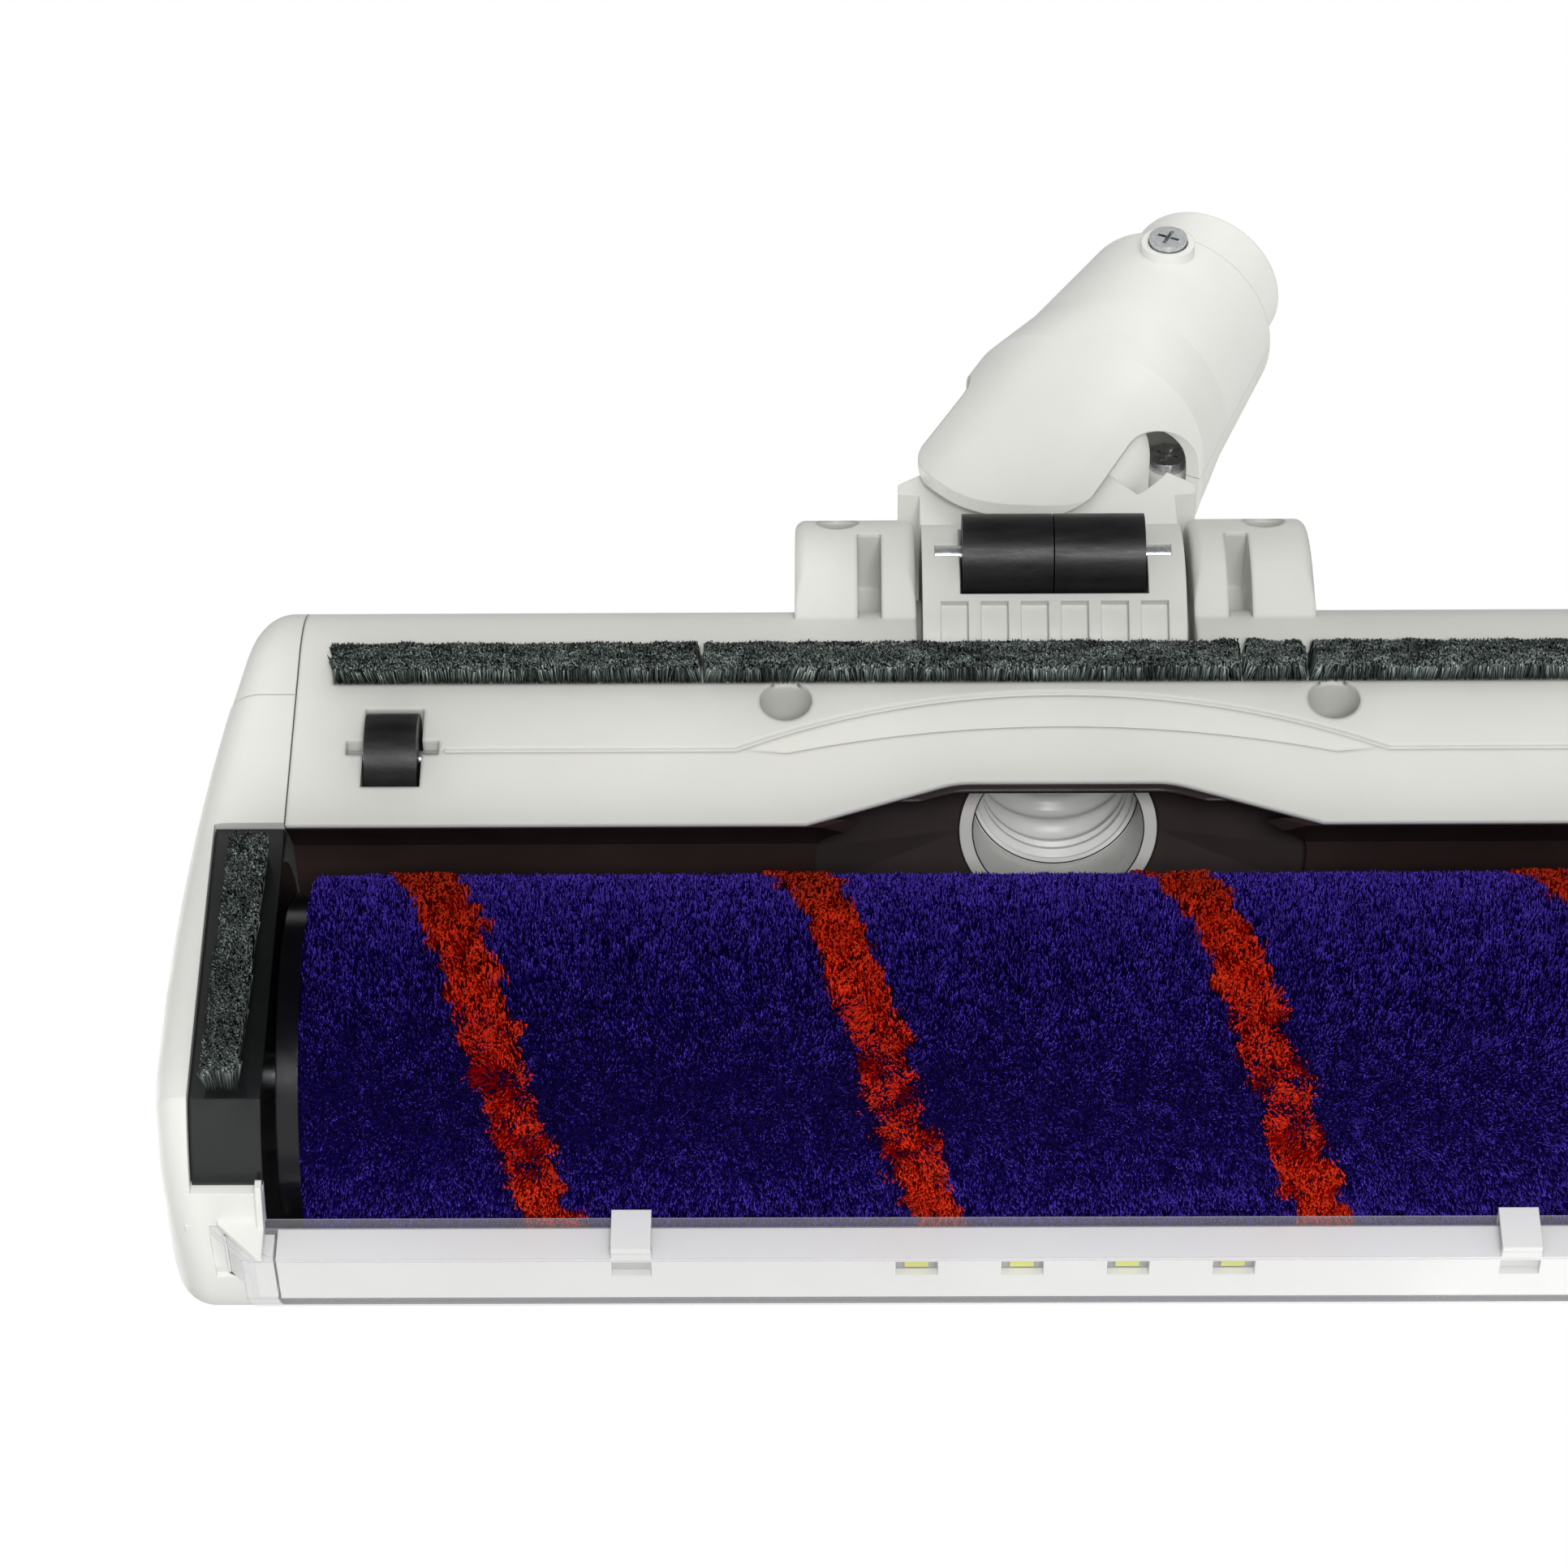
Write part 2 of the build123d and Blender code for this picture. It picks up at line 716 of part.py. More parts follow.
# Roller
def tube(outer, inner, x, y, z):
    return x_rod(outer, x, y, z) - x_rod(inner, x, y, z)


def roller_ring():
    start = nap_half_length
    ring = x_rod(end_ring_r, (start, start + end_ring_width), 0, roller_z)
    ring += x_rod(core_r - core_wall, (start - plug_length, start), 0, roller_z)
    return ring - x_rod(stub_r, (start - plug_length, start + end_ring_width), 0, roller_z)


def stub_axle(end):
    return x_rod(stub_r, (nap_half_length - plug_length, end), 0, roller_z)


def pulley(radius, bore, y, z):
    low = -belt_x - belt_width / 2 - belt_gap
    high = -belt_x + belt_width / 2 + belt_gap
    wheel = x_rod(radius, (low, high), y, z)
    wheel += x_rod(radius + flange_rise, (low - flange_wall, low), y, z)
    wheel += x_rod(radius + flange_rise, (high, high + flange_wall), y, z)
    return wheel - x_rod(bore, (low - flange_wall, high + flange_wall), y, z)


def drive_belt():
    def loop(extra):
        big = Pos(0, roller_z) * Circle(roller_pulley_r + extra)
        small = Pos(motor_y, motor_z) * Circle(motor_pulley_r + extra)
        return make_hull(big.edges() + small.edges())
    face = loop(belt_gap + belt_wall) - loop(belt_gap)
    return across(face, (-belt_x - belt_width / 2, -belt_x + belt_width / 2))


def motor():
    can = x_rod(motor_r, (-motor_outer_x, -motor_inner_x), motor_y, motor_z)
    can += x_rod(motor_nose_r, (-motor_outer_x - motor_nose, -motor_outer_x), motor_y, motor_z)
    for step in range(motor_vents):
        y, z = on_circle((motor_y, motor_z), motor_r * 0.62, 2 * pi * step / motor_vents)
        can -= x_rod(motor_vent_r, (-motor_inner_x - motor_nose, -motor_inner_x), y, z)
    length = (-motor_outer_x - motor_nose, -motor_inner_x)
    return can - x_rod(motor_shaft_r + running_gap, length, motor_y, motor_z)


def motor_bracket():
    face_x = (-motor_outer_x - bracket_wall, -motor_outer_x)
    plate = block(face_x, (motor_y - motor_r, motor_y + motor_r), (floor_z, motor_z + motor_r / 2))
    plate -= mirrored(small_wheel_box())
    return plate - x_rod(motor_nose_r, face_x, motor_y, motor_z)


def motor_cradle():
    ribs = [block((-x - cradle_wall, -x), (motor_y - motor_r / 2, motor_y + motor_r / 2), (plate_z, motor_z))
            for x in cradle_x]
    return Compound(ribs) - x_rod(motor_r, (-motor_outer_x, -motor_inner_x), motor_y, motor_z)


# Small wheels
def small_wheel():
    side = (wheel_x - wheel_width / 2, wheel_x + wheel_width / 2)
    return tube(wheel_r, axle_r + running_gap, side, wheel_y, wheel_r)


def wheel_axle():
    return x_rod(axle_r, (wheel_x - axle_length / 2, wheel_x + axle_length / 2), wheel_y, wheel_r)


def screw(length):
    shank = Cylinder(screw_r, length, align=(Align.CENTER, Align.CENTER, Align.MIN))
    head = Cylinder(screw_head_r, screw_head_height, align=(Align.CENTER, Align.CENTER, Align.MAX))
    cross = Box(screw_head_r * 1.2, screw_r / 2.4, screw_head_height * 1.2)
    cross += Rot(0, 0, 90) * cross
    return shank + head - Pos(0, 0, -screw_head_height) * cross


def housing_screws():
    group = []
    for side in (-1, 1):
        group.append(Pos(side * boss_x, boss_y, plate_z + screw_recess) * screw(screw_length))
        group.append(Pos(side * lug_screw_x, lug_screw_y, tilt_z - lug_r / 3) * screw(screw_length))
    return Compound(group)


# Yoke that tilts in the lugs; its own Y runs along the neck and its Z is the swivel axis
def yoke_body():
    body = x_rod(barrel_r, (-barrel_half, barrel_half), 0, 0)
    points = [
        (-barrel_half, 0), (-barrel_half, lug_r + barrel_clear),
        (-shoulder_half, shoulder_start), (-shoulder_half, shoulder_end),
        (-barrel_half + wall, shoulder_end + barrel_clear + shoulder_half - barrel_half),
    ]
    outline = points + [(-x, y) for x, y in reversed(points)]
    shoulder = extrude(make_face(Polyline(*outline, close=True)), shoulder_height, both=True)
    ring = z_rod(dome_r + 2 * neck_wall, 0, swivel_distance, (-shoulder_height, shoulder_height))
    spread = swivel_distance * tan(radians(web_half_angle))
    web = make_face(Polyline((0, swivel_distance), (-spread, 0), (spread, 0), close=True))
    body += shoulder - (ring - extrude(web, shoulder_height, both=True))
    dome = z_rod(dome_r, 0, swivel_distance, (-dome_half_height, dome_half_height))
    body += fillet(dome.edges().filter_by(GeomType.CIRCLE), dome_round)
    pin_reach = dome_half_height + pivot_rise
    body += z_rod(pivot_r, 0, swivel_distance, (-pin_reach, pin_reach))
    body += both_sides(x_rod(trunnion_r, (0, barrel_half + trunnion_length), 0, 0))
    body -= y_rod(passage_r, 0, (-barrel_r, swivel_distance + dome_r), 0)
    half = rear_wheel_half + rear_wheel_gap + seam_gap
    body -= x_rod(rear_wheel_r + rear_pocket_gap, (-half, half), rear_wheel_offset, rear_wheel_z)
    body -= block((-half, half), (rear_wheel_offset - rear_pocket_front, rear_wheel_offset),
                  (-2 * barrel_r, rear_wheel_z + rear_wheel_r / 2))
    slot_r = rear_axle_r + running_gap
    body -= block((-rear_axle_half, rear_axle_half), (rear_wheel_offset - slot_r, rear_wheel_offset + slot_r),
                  (rear_wheel_z - rear_wheel_r, rear_wheel_z))
    body -= x_rod(slot_r, (-rear_axle_half, rear_axle_half), rear_wheel_offset, rear_wheel_z)
    return body


def rib_pockets():
    ring = tube(barrel_r, barrel_r - rib_pocket_depth, (-rib_pocket_width / 2, rib_pocket_width / 2), 0, 0)
    reach = 2 * barrel_r
    corners = [(0, 0)] + [(-reach * cos(radians(a)), -reach * sin(radians(a))) for a in rib_pocket_angles]
    ring &= across(make_face(Polyline(*corners, close=True)), (-rib_pocket_width, rib_pocket_width))
    first = -(rib_pocket_count - 1) / 2 * rib_pocket_pitch
    return [Pos(first + step * rib_pocket_pitch, 0, 0) * ring for step in range(rib_pocket_count)]


def rear_roller(side):
    half = (rear_wheel_gap / 2, rear_wheel_half)
    wheel = tube(rear_wheel_r, rear_axle_r + running_gap, half, rear_wheel_offset, rear_wheel_z)
    return wheel if side > 0 else mirrored(wheel)


# Neck; its own Y runs along the tube from the swivel point
def neck_section(y, half_wide, half_high, corner, inset):
    plane = Plane(origin=(0, y, 0), x_dir=(1, 0, 0), z_dir=(0, 1, 0))
    return plane * RectangleRounded(2 * (half_wide - inset), 2 * (half_high - inset), corner - inset)


def neck_loft(inset):
    sections = [
        neck_section(skirt_end, skirt_half_width, skirt_half_height, skirt_corner, inset),
        neck_section(waist_y, waist_half_width, skirt_half_height, waist_corner, inset),
        neck_section(cone_y, cone_r, cone_r, cone_r - seam_gap, inset),
        neck_section(collar_y, collar_r, collar_r, collar_r - seam_gap, inset),
    ]
    return loft(sections, ruled=True)


def neck_shell():
    neck = neck_loft(0) - neck_loft(neck_wall)
    notch_y = notch_apex - notch_r
    reach = 2 * waist_half_width
    neck -= x_rod(notch_r, (-reach, reach), notch_y, 0)
    neck -= block((-reach, reach), (skirt_end, notch_y), (-notch_r, notch_r))
    tongue = Pos(0, skirt_end + reach / 2, 0) * RectangleRounded(2 * tongue_half, reach, tongue_round)
    beyond = Rectangle(2 * reach, reach - notch_y, align=(Align.CENTER, Align.MIN))
    plan = extrude(tongue + Pos(0, notch_y) * beyond + Pos(0, waist_y) * beyond, reach, both=True)
    neck &= plan
    pivot_reach = dome_half_height + pivot_rise + side_gap
    return neck - z_rod(pivot_r + running_gap, 0, 0, (-pivot_reach, pivot_reach))


def neck_half(z):
    return neck_shell() & block((-2 * skirt_half_width, 2 * skirt_half_width), (skirt_end, spigot_end), z)


def neck_lower():
    low = neck_half((-2 * cone_r, -seam_gap / 2))
    boss = z_rod(neck_boss_r, 0, neck_screw_y, (-collar_r - neck_boss_rise - 1, -spigot_r - seam_gap))
    low += boss
    low -= z_rod(screw_head_r + seam_gap, 0, neck_screw_y, (-2 * cone_r, neck_screw_z))
    return low - z_rod(screw_r, 0, neck_screw_y, (-2 * cone_r, 0))


def neck_upper():
    x, y = notch_screw
    post = z_rod(notch_boss_r, x, y, (notch_boss_z, skirt_half_height)) & neck_loft(neck_wall / 2)
    high = neck_half((seam_gap / 2, 2 * cone_r)) + post
    return high - z_rod(screw_r, x, y, (0, notch_boss_z + screw_length / 2))


def spigot():
    pipe = y_rod(spigot_r, 0, (collar_y + stop_gap, spigot_end), 0)
    pipe += y_rod(spigot_r - spigot_step, 0, (spigot_root, collar_y + stop_gap), 0)
    pipe += y_rod(collar_r - neck_wall, 0, (spigot_root, spigot_root + wall), 0) & neck_loft(neck_wall)
    pipe -= y_rod(spigot_r - spigot_wall, 0, (spigot_root, spigot_end), 0)
    for turn in (-lock_hole_angle, lock_hole_angle):
        pipe -= Rot(0, turn, 0) * z_rod(lock_hole_r, 0, lock_hole_y, (-spigot_r - wall, 0))
    return pipe


def contact_block():
    top = spigot_r - spigot_wall
    body = block((-contact_width / 2, contact_width / 2), (spigot_end - contact_length, spigot_end - wall),
                 (top - contact_height, top))
    body &= y_rod(top, 0, (spigot_root, spigot_end), 0)
    for x in (-pin_pitch / 2, pin_pitch / 2):
        body -= y_rod(pin_r, x, (spigot_end - contact_length, spigot_end), top - contact_height / 2)
    return body


def contact_pins():
    z = spigot_r - spigot_wall - contact_height / 2
    span = (spigot_end - contact_length, spigot_end - wall + pin_rise)
    return Compound([y_rod(pin_r, x, span, z) for x in (-pin_pitch / 2, pin_pitch / 2)])


def neck_screws():
    rim = Pos(0, neck_screw_y, neck_screw_z) * screw(wall)
    inner = Pos(notch_screw[0], notch_screw[1], notch_boss_z) * screw(screw_length / 2)
    return Compound([rim, inner])


lens_bottom = bar_z - lens_clear - lens_wall
lens_front_y = bar_front_y - lens_clear - lens_wall
lens_rear_y = bar_rear_y + lens_clear + lens_lip
led_x = [(step - (led_count - 1) / 2) * led_pitch for step in range(led_count)]
tilt = radians(tilt_rest)
rear_wheel_z = (rear_wheel_r - tilt_z - rear_wheel_offset * sin(tilt)) / cos(tilt)
neck_screw_z = -collar_r - neck_boss_rise
yoke_place = Pos(0, tilt_y, tilt_z) * Rot(tilt_rest, 0, 0)
neck_place = yoke_place * Pos(0, swivel_distance, 0) * Rot(0, 0, swing_rest)

# Rearmost point of the spigot's rim, which sets the middle of the depth
along_y = cos(radians(swing_rest)) * cos(tilt)
neck_back_y = tilt_y + swivel_distance * cos(tilt) + spigot_end * along_y + spigot_r * sqrt(1 - along_y ** 2)
centre_shift = -(lens_front_y + neck_back_y) / 2

os.makedirs("parts", exist_ok=True)


def save(name, shape):
    export_step(Pos(0, centre_shift, 0) * shape, f"parts/{name}.step")


save("base_plate", base_plate())
save("top_shell", top_shell())
save("roller_hood", roller_hood())
save("chamber_liner", chamber_liner())
save("suction_funnel", suction_funnel())
save("suction_ring", suction_ring())
save("suction_hose", suction_hose())
save("rear_felt_strip", rear_felt())
save("light_bar", light_bar())
save("light_lens", light_lens())
save("led_board", led_board())
save("leds", leds())
save("housing_screws", housing_screws())
save("wheel_axles", Compound([wheel_axle(), mirrored(wheel_axle())]))
save("motor", motor())
save("motor_bracket", motor_bracket())
save("drive_belt", drive_belt())
cap = end_cap()
plate = side_plate()
sided = {
    "end_cap": cap,
    "side_plate": plate,
    "side_felt": side_felt(),
    "bearing": bearing(),
    "roller_ring": roller_ring(),
    "wheel": small_wheel(),
}
for name, shape in sided.items():
    save(f"left_{name}", shape)
    save(f"right_{name}", mirrored(shape))

save("roller_core", tube(core_r, core_r - core_wall, (-nap_half_length, nap_half_length), 0, roller_z))
save("roller_sleeve", tube(nap_r, core_r, (-nap_half_length, nap_half_length), 0, roller_z))
pulley_end = belt_x + belt_width
stubs = [stub_axle(band_x + seam_gap + bearing_width), mirrored(stub_axle(pulley_end))]
save("roller_stub_axles", Compound(stubs))
save("roller_pulley", pulley(roller_pulley_r, stub_r, 0, roller_z))
save("motor_shaft", x_rod(motor_shaft_r, (-pulley_end, -motor_inner_x), motor_y, motor_z))
save("motor_pulley", pulley(motor_pulley_r, motor_shaft_r, motor_y, motor_z))

yoke = yoke_body()
above = block(everywhere, (-barrel_r, swivel_distance + dome_r), (0, barrel_r))
yoke_lower = yoke - above
for pocket in rib_pockets():
    yoke_lower -= pocket
save("yoke_lower", yoke_place * yoke_lower)
save("yoke_upper", yoke_place * (yoke & above))
axle = x_rod(rear_axle_r, (-rear_axle_half, rear_axle_half), rear_wheel_offset, rear_wheel_z)
save("rear_wheel_axle", yoke_place * axle)
save("left_rear_roller", yoke_place * rear_roller(1))
save("right_rear_roller", yoke_place * rear_roller(-1))
save("neck_lower_shell", neck_place * neck_lower())
save("neck_upper_shell", neck_place * neck_upper())
save("spigot", neck_place * spigot())
save("contact_block", neck_place * contact_block())
save("contact_pins", neck_place * contact_pins())
save("neck_screws", neck_place * neck_screws())
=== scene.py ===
import math
import bpy
import numpy as np
from mathutils import Matrix, Vector


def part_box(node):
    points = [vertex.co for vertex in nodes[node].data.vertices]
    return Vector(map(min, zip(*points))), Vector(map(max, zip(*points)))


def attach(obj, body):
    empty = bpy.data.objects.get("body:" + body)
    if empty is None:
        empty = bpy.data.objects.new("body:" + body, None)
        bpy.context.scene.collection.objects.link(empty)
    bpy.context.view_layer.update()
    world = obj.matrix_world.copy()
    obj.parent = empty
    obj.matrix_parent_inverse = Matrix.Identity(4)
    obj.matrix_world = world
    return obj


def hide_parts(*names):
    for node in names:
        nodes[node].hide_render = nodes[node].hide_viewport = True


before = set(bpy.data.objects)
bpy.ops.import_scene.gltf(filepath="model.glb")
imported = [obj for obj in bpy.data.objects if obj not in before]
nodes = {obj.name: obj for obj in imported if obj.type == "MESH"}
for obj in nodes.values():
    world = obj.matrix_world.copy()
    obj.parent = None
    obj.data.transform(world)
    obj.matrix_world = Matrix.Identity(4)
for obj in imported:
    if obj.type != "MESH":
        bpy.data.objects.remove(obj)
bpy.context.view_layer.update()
scene = bpy.context.scene
scene.view_settings.view_transform = "Standard"
print("frame loaded:", len(nodes), "nodes")

# roller axis, taken from the sleeve itself
sleeveLow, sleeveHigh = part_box("roller_sleeve")
rollerAxis = (sleeveLow + sleeveHigh) / 2


def newMaterial(name):
    mat = bpy.data.materials.new(name)
    mat.use_nodes = True
    tree = mat.node_tree
    return mat, tree, tree.nodes["Principled BSDF"]


def addNode(tree, kind, **inputs):
    node = tree.nodes.new(kind)
    for key, value in inputs.items():
        node.inputs[key].default_value = value
    return node


def noiseNode(tree, scale, detail, rough=0.5, stretch=None):
    coords = tree.nodes.new("ShaderNodeTexCoord").outputs["Object"]
    if stretch:
        mapping = addNode(tree, "ShaderNodeMapping", Scale=stretch)
        tree.links.new(coords, mapping.inputs["Vector"])
        coords = mapping.outputs["Vector"]
    noise = addNode(tree, "ShaderNodeTexNoise", Scale=scale, Detail=detail, Roughness=rough)
    tree.links.new(coords, noise.inputs["Vector"])
    return noise


def rampNode(tree, source, stops):
    ramp = tree.nodes.new("ShaderNodeValToRGB")
    elements = ramp.color_ramp.elements
    while len(elements) < len(stops):
        elements.new(0.5)
    for element, (place, colour) in zip(elements, stops):
        element.position = place
        element.color = (*colour, 1)
    tree.links.new(source, ramp.inputs["Fac"])
    return ramp


def rangeNode(tree, source, low, high, fromLow=0.3, fromHigh=0.7):
    node = tree.nodes.new("ShaderNodeMapRange")
    node.inputs["From Min"].default_value = fromLow
    node.inputs["From Max"].default_value = fromHigh
    node.inputs["To Min"].default_value = low
    node.inputs["To Max"].default_value = high
    tree.links.new(source, node.inputs["Value"])
    return node


def bumpNode(tree, height, strength, distance, normal=None):
    bump = addNode(tree, "ShaderNodeBump", Strength=strength, Distance=distance)
    tree.links.new(height, bump.inputs["Height"])
    if normal:
        tree.links.new(normal, bump.inputs["Normal"])
    return bump


def softEdge(tree, radius):
    bevel = addNode(tree, "ShaderNodeBevel", Radius=radius)
    bevel.samples = 6
    return bevel.outputs["Normal"]


def mouldedPlastic(name, colour, rough, grain=0.06, edge=0.00035, shade=0.03, coat=0.0):
    mat, tree, skin = newMaterial(name)
    cloudy = noiseNode(tree, scale=45, detail=4, rough=0.55)
    darker = tuple(c * (1 - shade) for c in colour)
    lighter = tuple(min(1, c * (1 + shade * 0.6)) for c in colour)
    tint = rampNode(tree, cloudy.outputs["Fac"], [(0.3, darker), (0.7, lighter)])
    tree.links.new(tint.outputs["Color"], skin.inputs["Base Color"])
    wipe = noiseNode(tree, scale=160, detail=5, rough=0.6)
    gloss = rangeNode(tree, wipe.outputs["Fac"], low=rough - 0.05, high=rough + 0.07)
    tree.links.new(gloss.outputs["Result"], skin.inputs["Roughness"])
    fine = noiseNode(tree, scale=3200, detail=2, rough=0.6)
    rounded = softEdge(tree, edge) if edge else None
    bump = bumpNode(tree, fine.outputs["Fac"], strength=grain, distance=0.00012, normal=rounded)
    tree.links.new(bump.outputs["Normal"], skin.inputs["Normal"])
    skin.inputs["Coat Weight"].default_value = coat
    skin.inputs["Coat Roughness"].default_value = 0.12
    return mat


def smokedPlastic(name, colour, cover):
    mat, tree, skin = newMaterial(name)
    cloudy = noiseNode(tree, scale=60, detail=4)
    duller = tuple(c * 0.85 for c in colour)
    tint = rampNode(tree, cloudy.outputs["Fac"], [(0.35, duller), (0.65, colour)])
    tree.links.new(tint.outputs["Color"], skin.inputs["Base Color"])
    haze = noiseNode(tree, scale=420, detail=4)
    gloss = rangeNode(tree, haze.outputs["Fac"], low=0.10, high=0.20)
    tree.links.new(gloss.outputs["Result"], skin.inputs["Roughness"])
    skin.inputs["Alpha"].default_value = cover
    return mat


def clearPlastic(name, flat, paintedEdgeShade, cover, paintedEdgeCover, edge):
    # nearly invisible on its flats; its moulded edges get painted shade, a darker grey-violet and less
    # clear, standing in for the light bent at the edges
    mat, tree, skin = newMaterial(name)
    shape = tree.nodes.new("ShaderNodeNewGeometry")
    near = tree.nodes.new("ShaderNodeVectorMath")
    near.operation = "DOT_PRODUCT"
    tree.links.new(softEdge(tree, edge), near.inputs[0])
    tree.links.new(shape.outputs["Normal"], near.inputs[1])
    paintedEdgeMask = rangeNode(tree, near.outputs["Value"], low=1.0, high=0.0, fromLow=0.75, fromHigh=0.99)
    tint = rampNode(tree, paintedEdgeMask.outputs["Result"], [(0.0, flat), (1.0, paintedEdgeShade)])
    tree.links.new(tint.outputs["Color"], skin.inputs["Base Color"])
    alpha = rangeNode(tree, paintedEdgeMask.outputs["Result"], low=cover, high=paintedEdgeCover, fromLow=0.0, fromHigh=1.0)
    tree.links.new(alpha.outputs["Result"], skin.inputs["Alpha"])
    haze = noiseNode(tree, scale=260, detail=4)
    gloss = rangeNode(tree, haze.outputs["Fac"], low=0.05, high=0.12)
    tree.links.new(gloss.outputs["Result"], skin.inputs["Roughness"])
    return mat


def wornRubber(name, colour):
    mat, tree, skin = newMaterial(name)
    scuff = noiseNode(tree, scale=700, detail=6, rough=0.65, stretch=(0.25, 1, 1))
    worn, chalky = tuple(c * 1.7 for c in colour), tuple(c * 3 for c in colour)
    tint = rampNode(tree, scuff.outputs["Fac"], [(0.3, colour), (0.62, worn), (0.8, chalky)])
    tree.links.new(tint.outputs["Color"], skin.inputs["Base Color"])
    gloss = rangeNode(tree, scuff.outputs["Fac"], low=0.32, high=0.55)
    tree.links.new(gloss.outputs["Result"], skin.inputs["Roughness"])
    fine = noiseNode(tree, scale=2600, detail=3, rough=0.6)
    bump = bumpNode(tree, fine.outputs["Fac"], strength=0.12, distance=0.0002)
    tree.links.new(bump.outputs["Normal"], skin.inputs["Normal"])
    return mat


def platedMetal(name, colour, rough, stretch=(1, 1, 1)):
    mat, tree, skin = newMaterial(name)
    skin.inputs["Metallic"].default_value = 1.0
    streak = noiseNode(tree, scale=1500, detail=4, rough=0.6, stretch=stretch)
    darker = tuple(c * 0.8 for c in colour)
    tint = rampNode(tree, streak.outputs["Fac"], [(0.3, darker), (0.7, colour)])
    tree.links.new(tint.outputs["Color"], skin.inputs["Base Color"])
    gloss = rangeNode(tree, streak.outputs["Fac"], low=rough - 0.06, high=rough + 0.1)
    tree.links.new(gloss.outputs["Result"], skin.inputs["Roughness"])
    rounded = softEdge(tree, radius=0.00015)
    bump = bumpNode(tree, streak.outputs["Fac"], strength=0.08, distance=0.0001, normal=rounded)
    tree.links.new(bump.outputs["Normal"], skin.inputs["Normal"])
    return mat


def fibreMaterial(name, stops, sheen, sheenTint):
    # each fibre carries its own shade in a per-point attribute: painted shade, dark at the root and
    # lighter at the tip, plus random tone
    mat, tree, skin = newMaterial(name)
    tone = tree.nodes.new("ShaderNodeAttribute")
    tone.attribute_name = "fibreToneAndShade"
    ramp = rampNode(tree, tone.outputs["Fac"], stops)
    tree.links.new(ramp.outputs["Color"], skin.inputs["Base Color"])
    skin.inputs["Roughness"].default_value = 0.9
    skin.inputs["Specular IOR Level"].default_value = 0.0
    skin.inputs["Sheen Weight"].default_value = sheen
    skin.inputs["Sheen Roughness"].default_value = 0.5
    skin.inputs["Sheen Tint"].default_value = (*sheenTint, 1)
    return mat


def clothBacking(name, stops):
    mat, tree, skin = newMaterial(name)
    weave = noiseNode(tree, scale=1400, detail=4, rough=0.6)
    ramp = rampNode(tree, weave.outputs["Fac"], stops)
    tree.links.new(ramp.outputs["Color"], skin.inputs["Base Color"])
    bump = bumpNode(tree, weave.outputs["Fac"], strength=0.6, distance=0.0004)
    tree.links.new(bump.outputs["Normal"], skin.inputs["Normal"])
    skin.inputs["Roughness"].default_value = 0.95
    skin.inputs["Specular IOR Level"].default_value = 0.0
    return mat


finishes = {
    "housing": mouldedPlastic("housingPlastic", (0.80, 0.80, 0.765), 0.40),
    "plate": mouldedPlastic("platePlastic", (0.80, 0.80, 0.765), 0.40, edge=0.0010),
    "whiteBar": mouldedPlastic("whiteBarPlastic", (0.77, 0.77, 0.75), 0.35, edge=0.0002),
    "blackGloss": mouldedPlastic("blackGlossPlastic", (0.012, 0.013, 0.013), 0.16,
                                 grain=0.02, edge=0.0006, shade=0.3, coat=0.15),
    "endRing": mouldedPlastic("endRingPlastic", (0.004, 0.004, 0.006), 0.17, grain=0.02, shade=0.3),
    "liner": mouldedPlastic("chamberPlastic", (0.050, 0.032, 0.030), 0.16,
                            grain=0.02, edge=0.0, shade=0.35),
    "funnel": mouldedPlastic("funnelPlastic", (0.060, 0.047, 0.045), 0.18,
                             grain=0.02, edge=0.0006, shade=0.25),
    "hood": smokedPlastic("smokedHood", (0.030, 0.027, 0.032), 0.80),
    # the lens's edge colour is painted shade for the light bent at its edges
    "lens": clearPlastic("clearLens", (0.92, 0.92, 0.96), (0.36, 0.34, 0.42),
                         cover=0.08, paintedEdgeCover=0.50, edge=0.0005),
    "duct": mouldedPlastic("paleRing", (0.84, 0.84, 0.81), 0.30, grain=0.03, shade=0.05),
    "hose": mouldedPlastic("paleHose", (0.90, 0.90, 0.88), 0.30, grain=0.03, shade=0.05),
    "rubber": wornRubber("blackRubber", (0.012, 0.012, 0.013)),
    "steel": platedMetal("zincSteel", (0.66, 0.68, 0.70), 0.26),
    "motor": platedMetal("motorCan", (0.55, 0.55, 0.57), 0.35, stretch=(0.05, 1, 1)),
    "brass": platedMetal("brassPins", (0.85, 0.62, 0.28), 0.25),
    "bronze": platedMetal("bronzeBush", (0.58, 0.40, 0.22), 0.4),
    "darkMoulded": mouldedPlastic("darkMoulded", (0.03, 0.03, 0.032), 0.45, shade=0.2),
    "board": mouldedPlastic("whiteBoard", (0.80, 0.82, 0.79), 0.3, edge=0.0),
    "led": mouldedPlastic("yellowPhosphor", (0.78, 0.80, 0.10), 0.35, edge=0.0, shade=0.12),
}

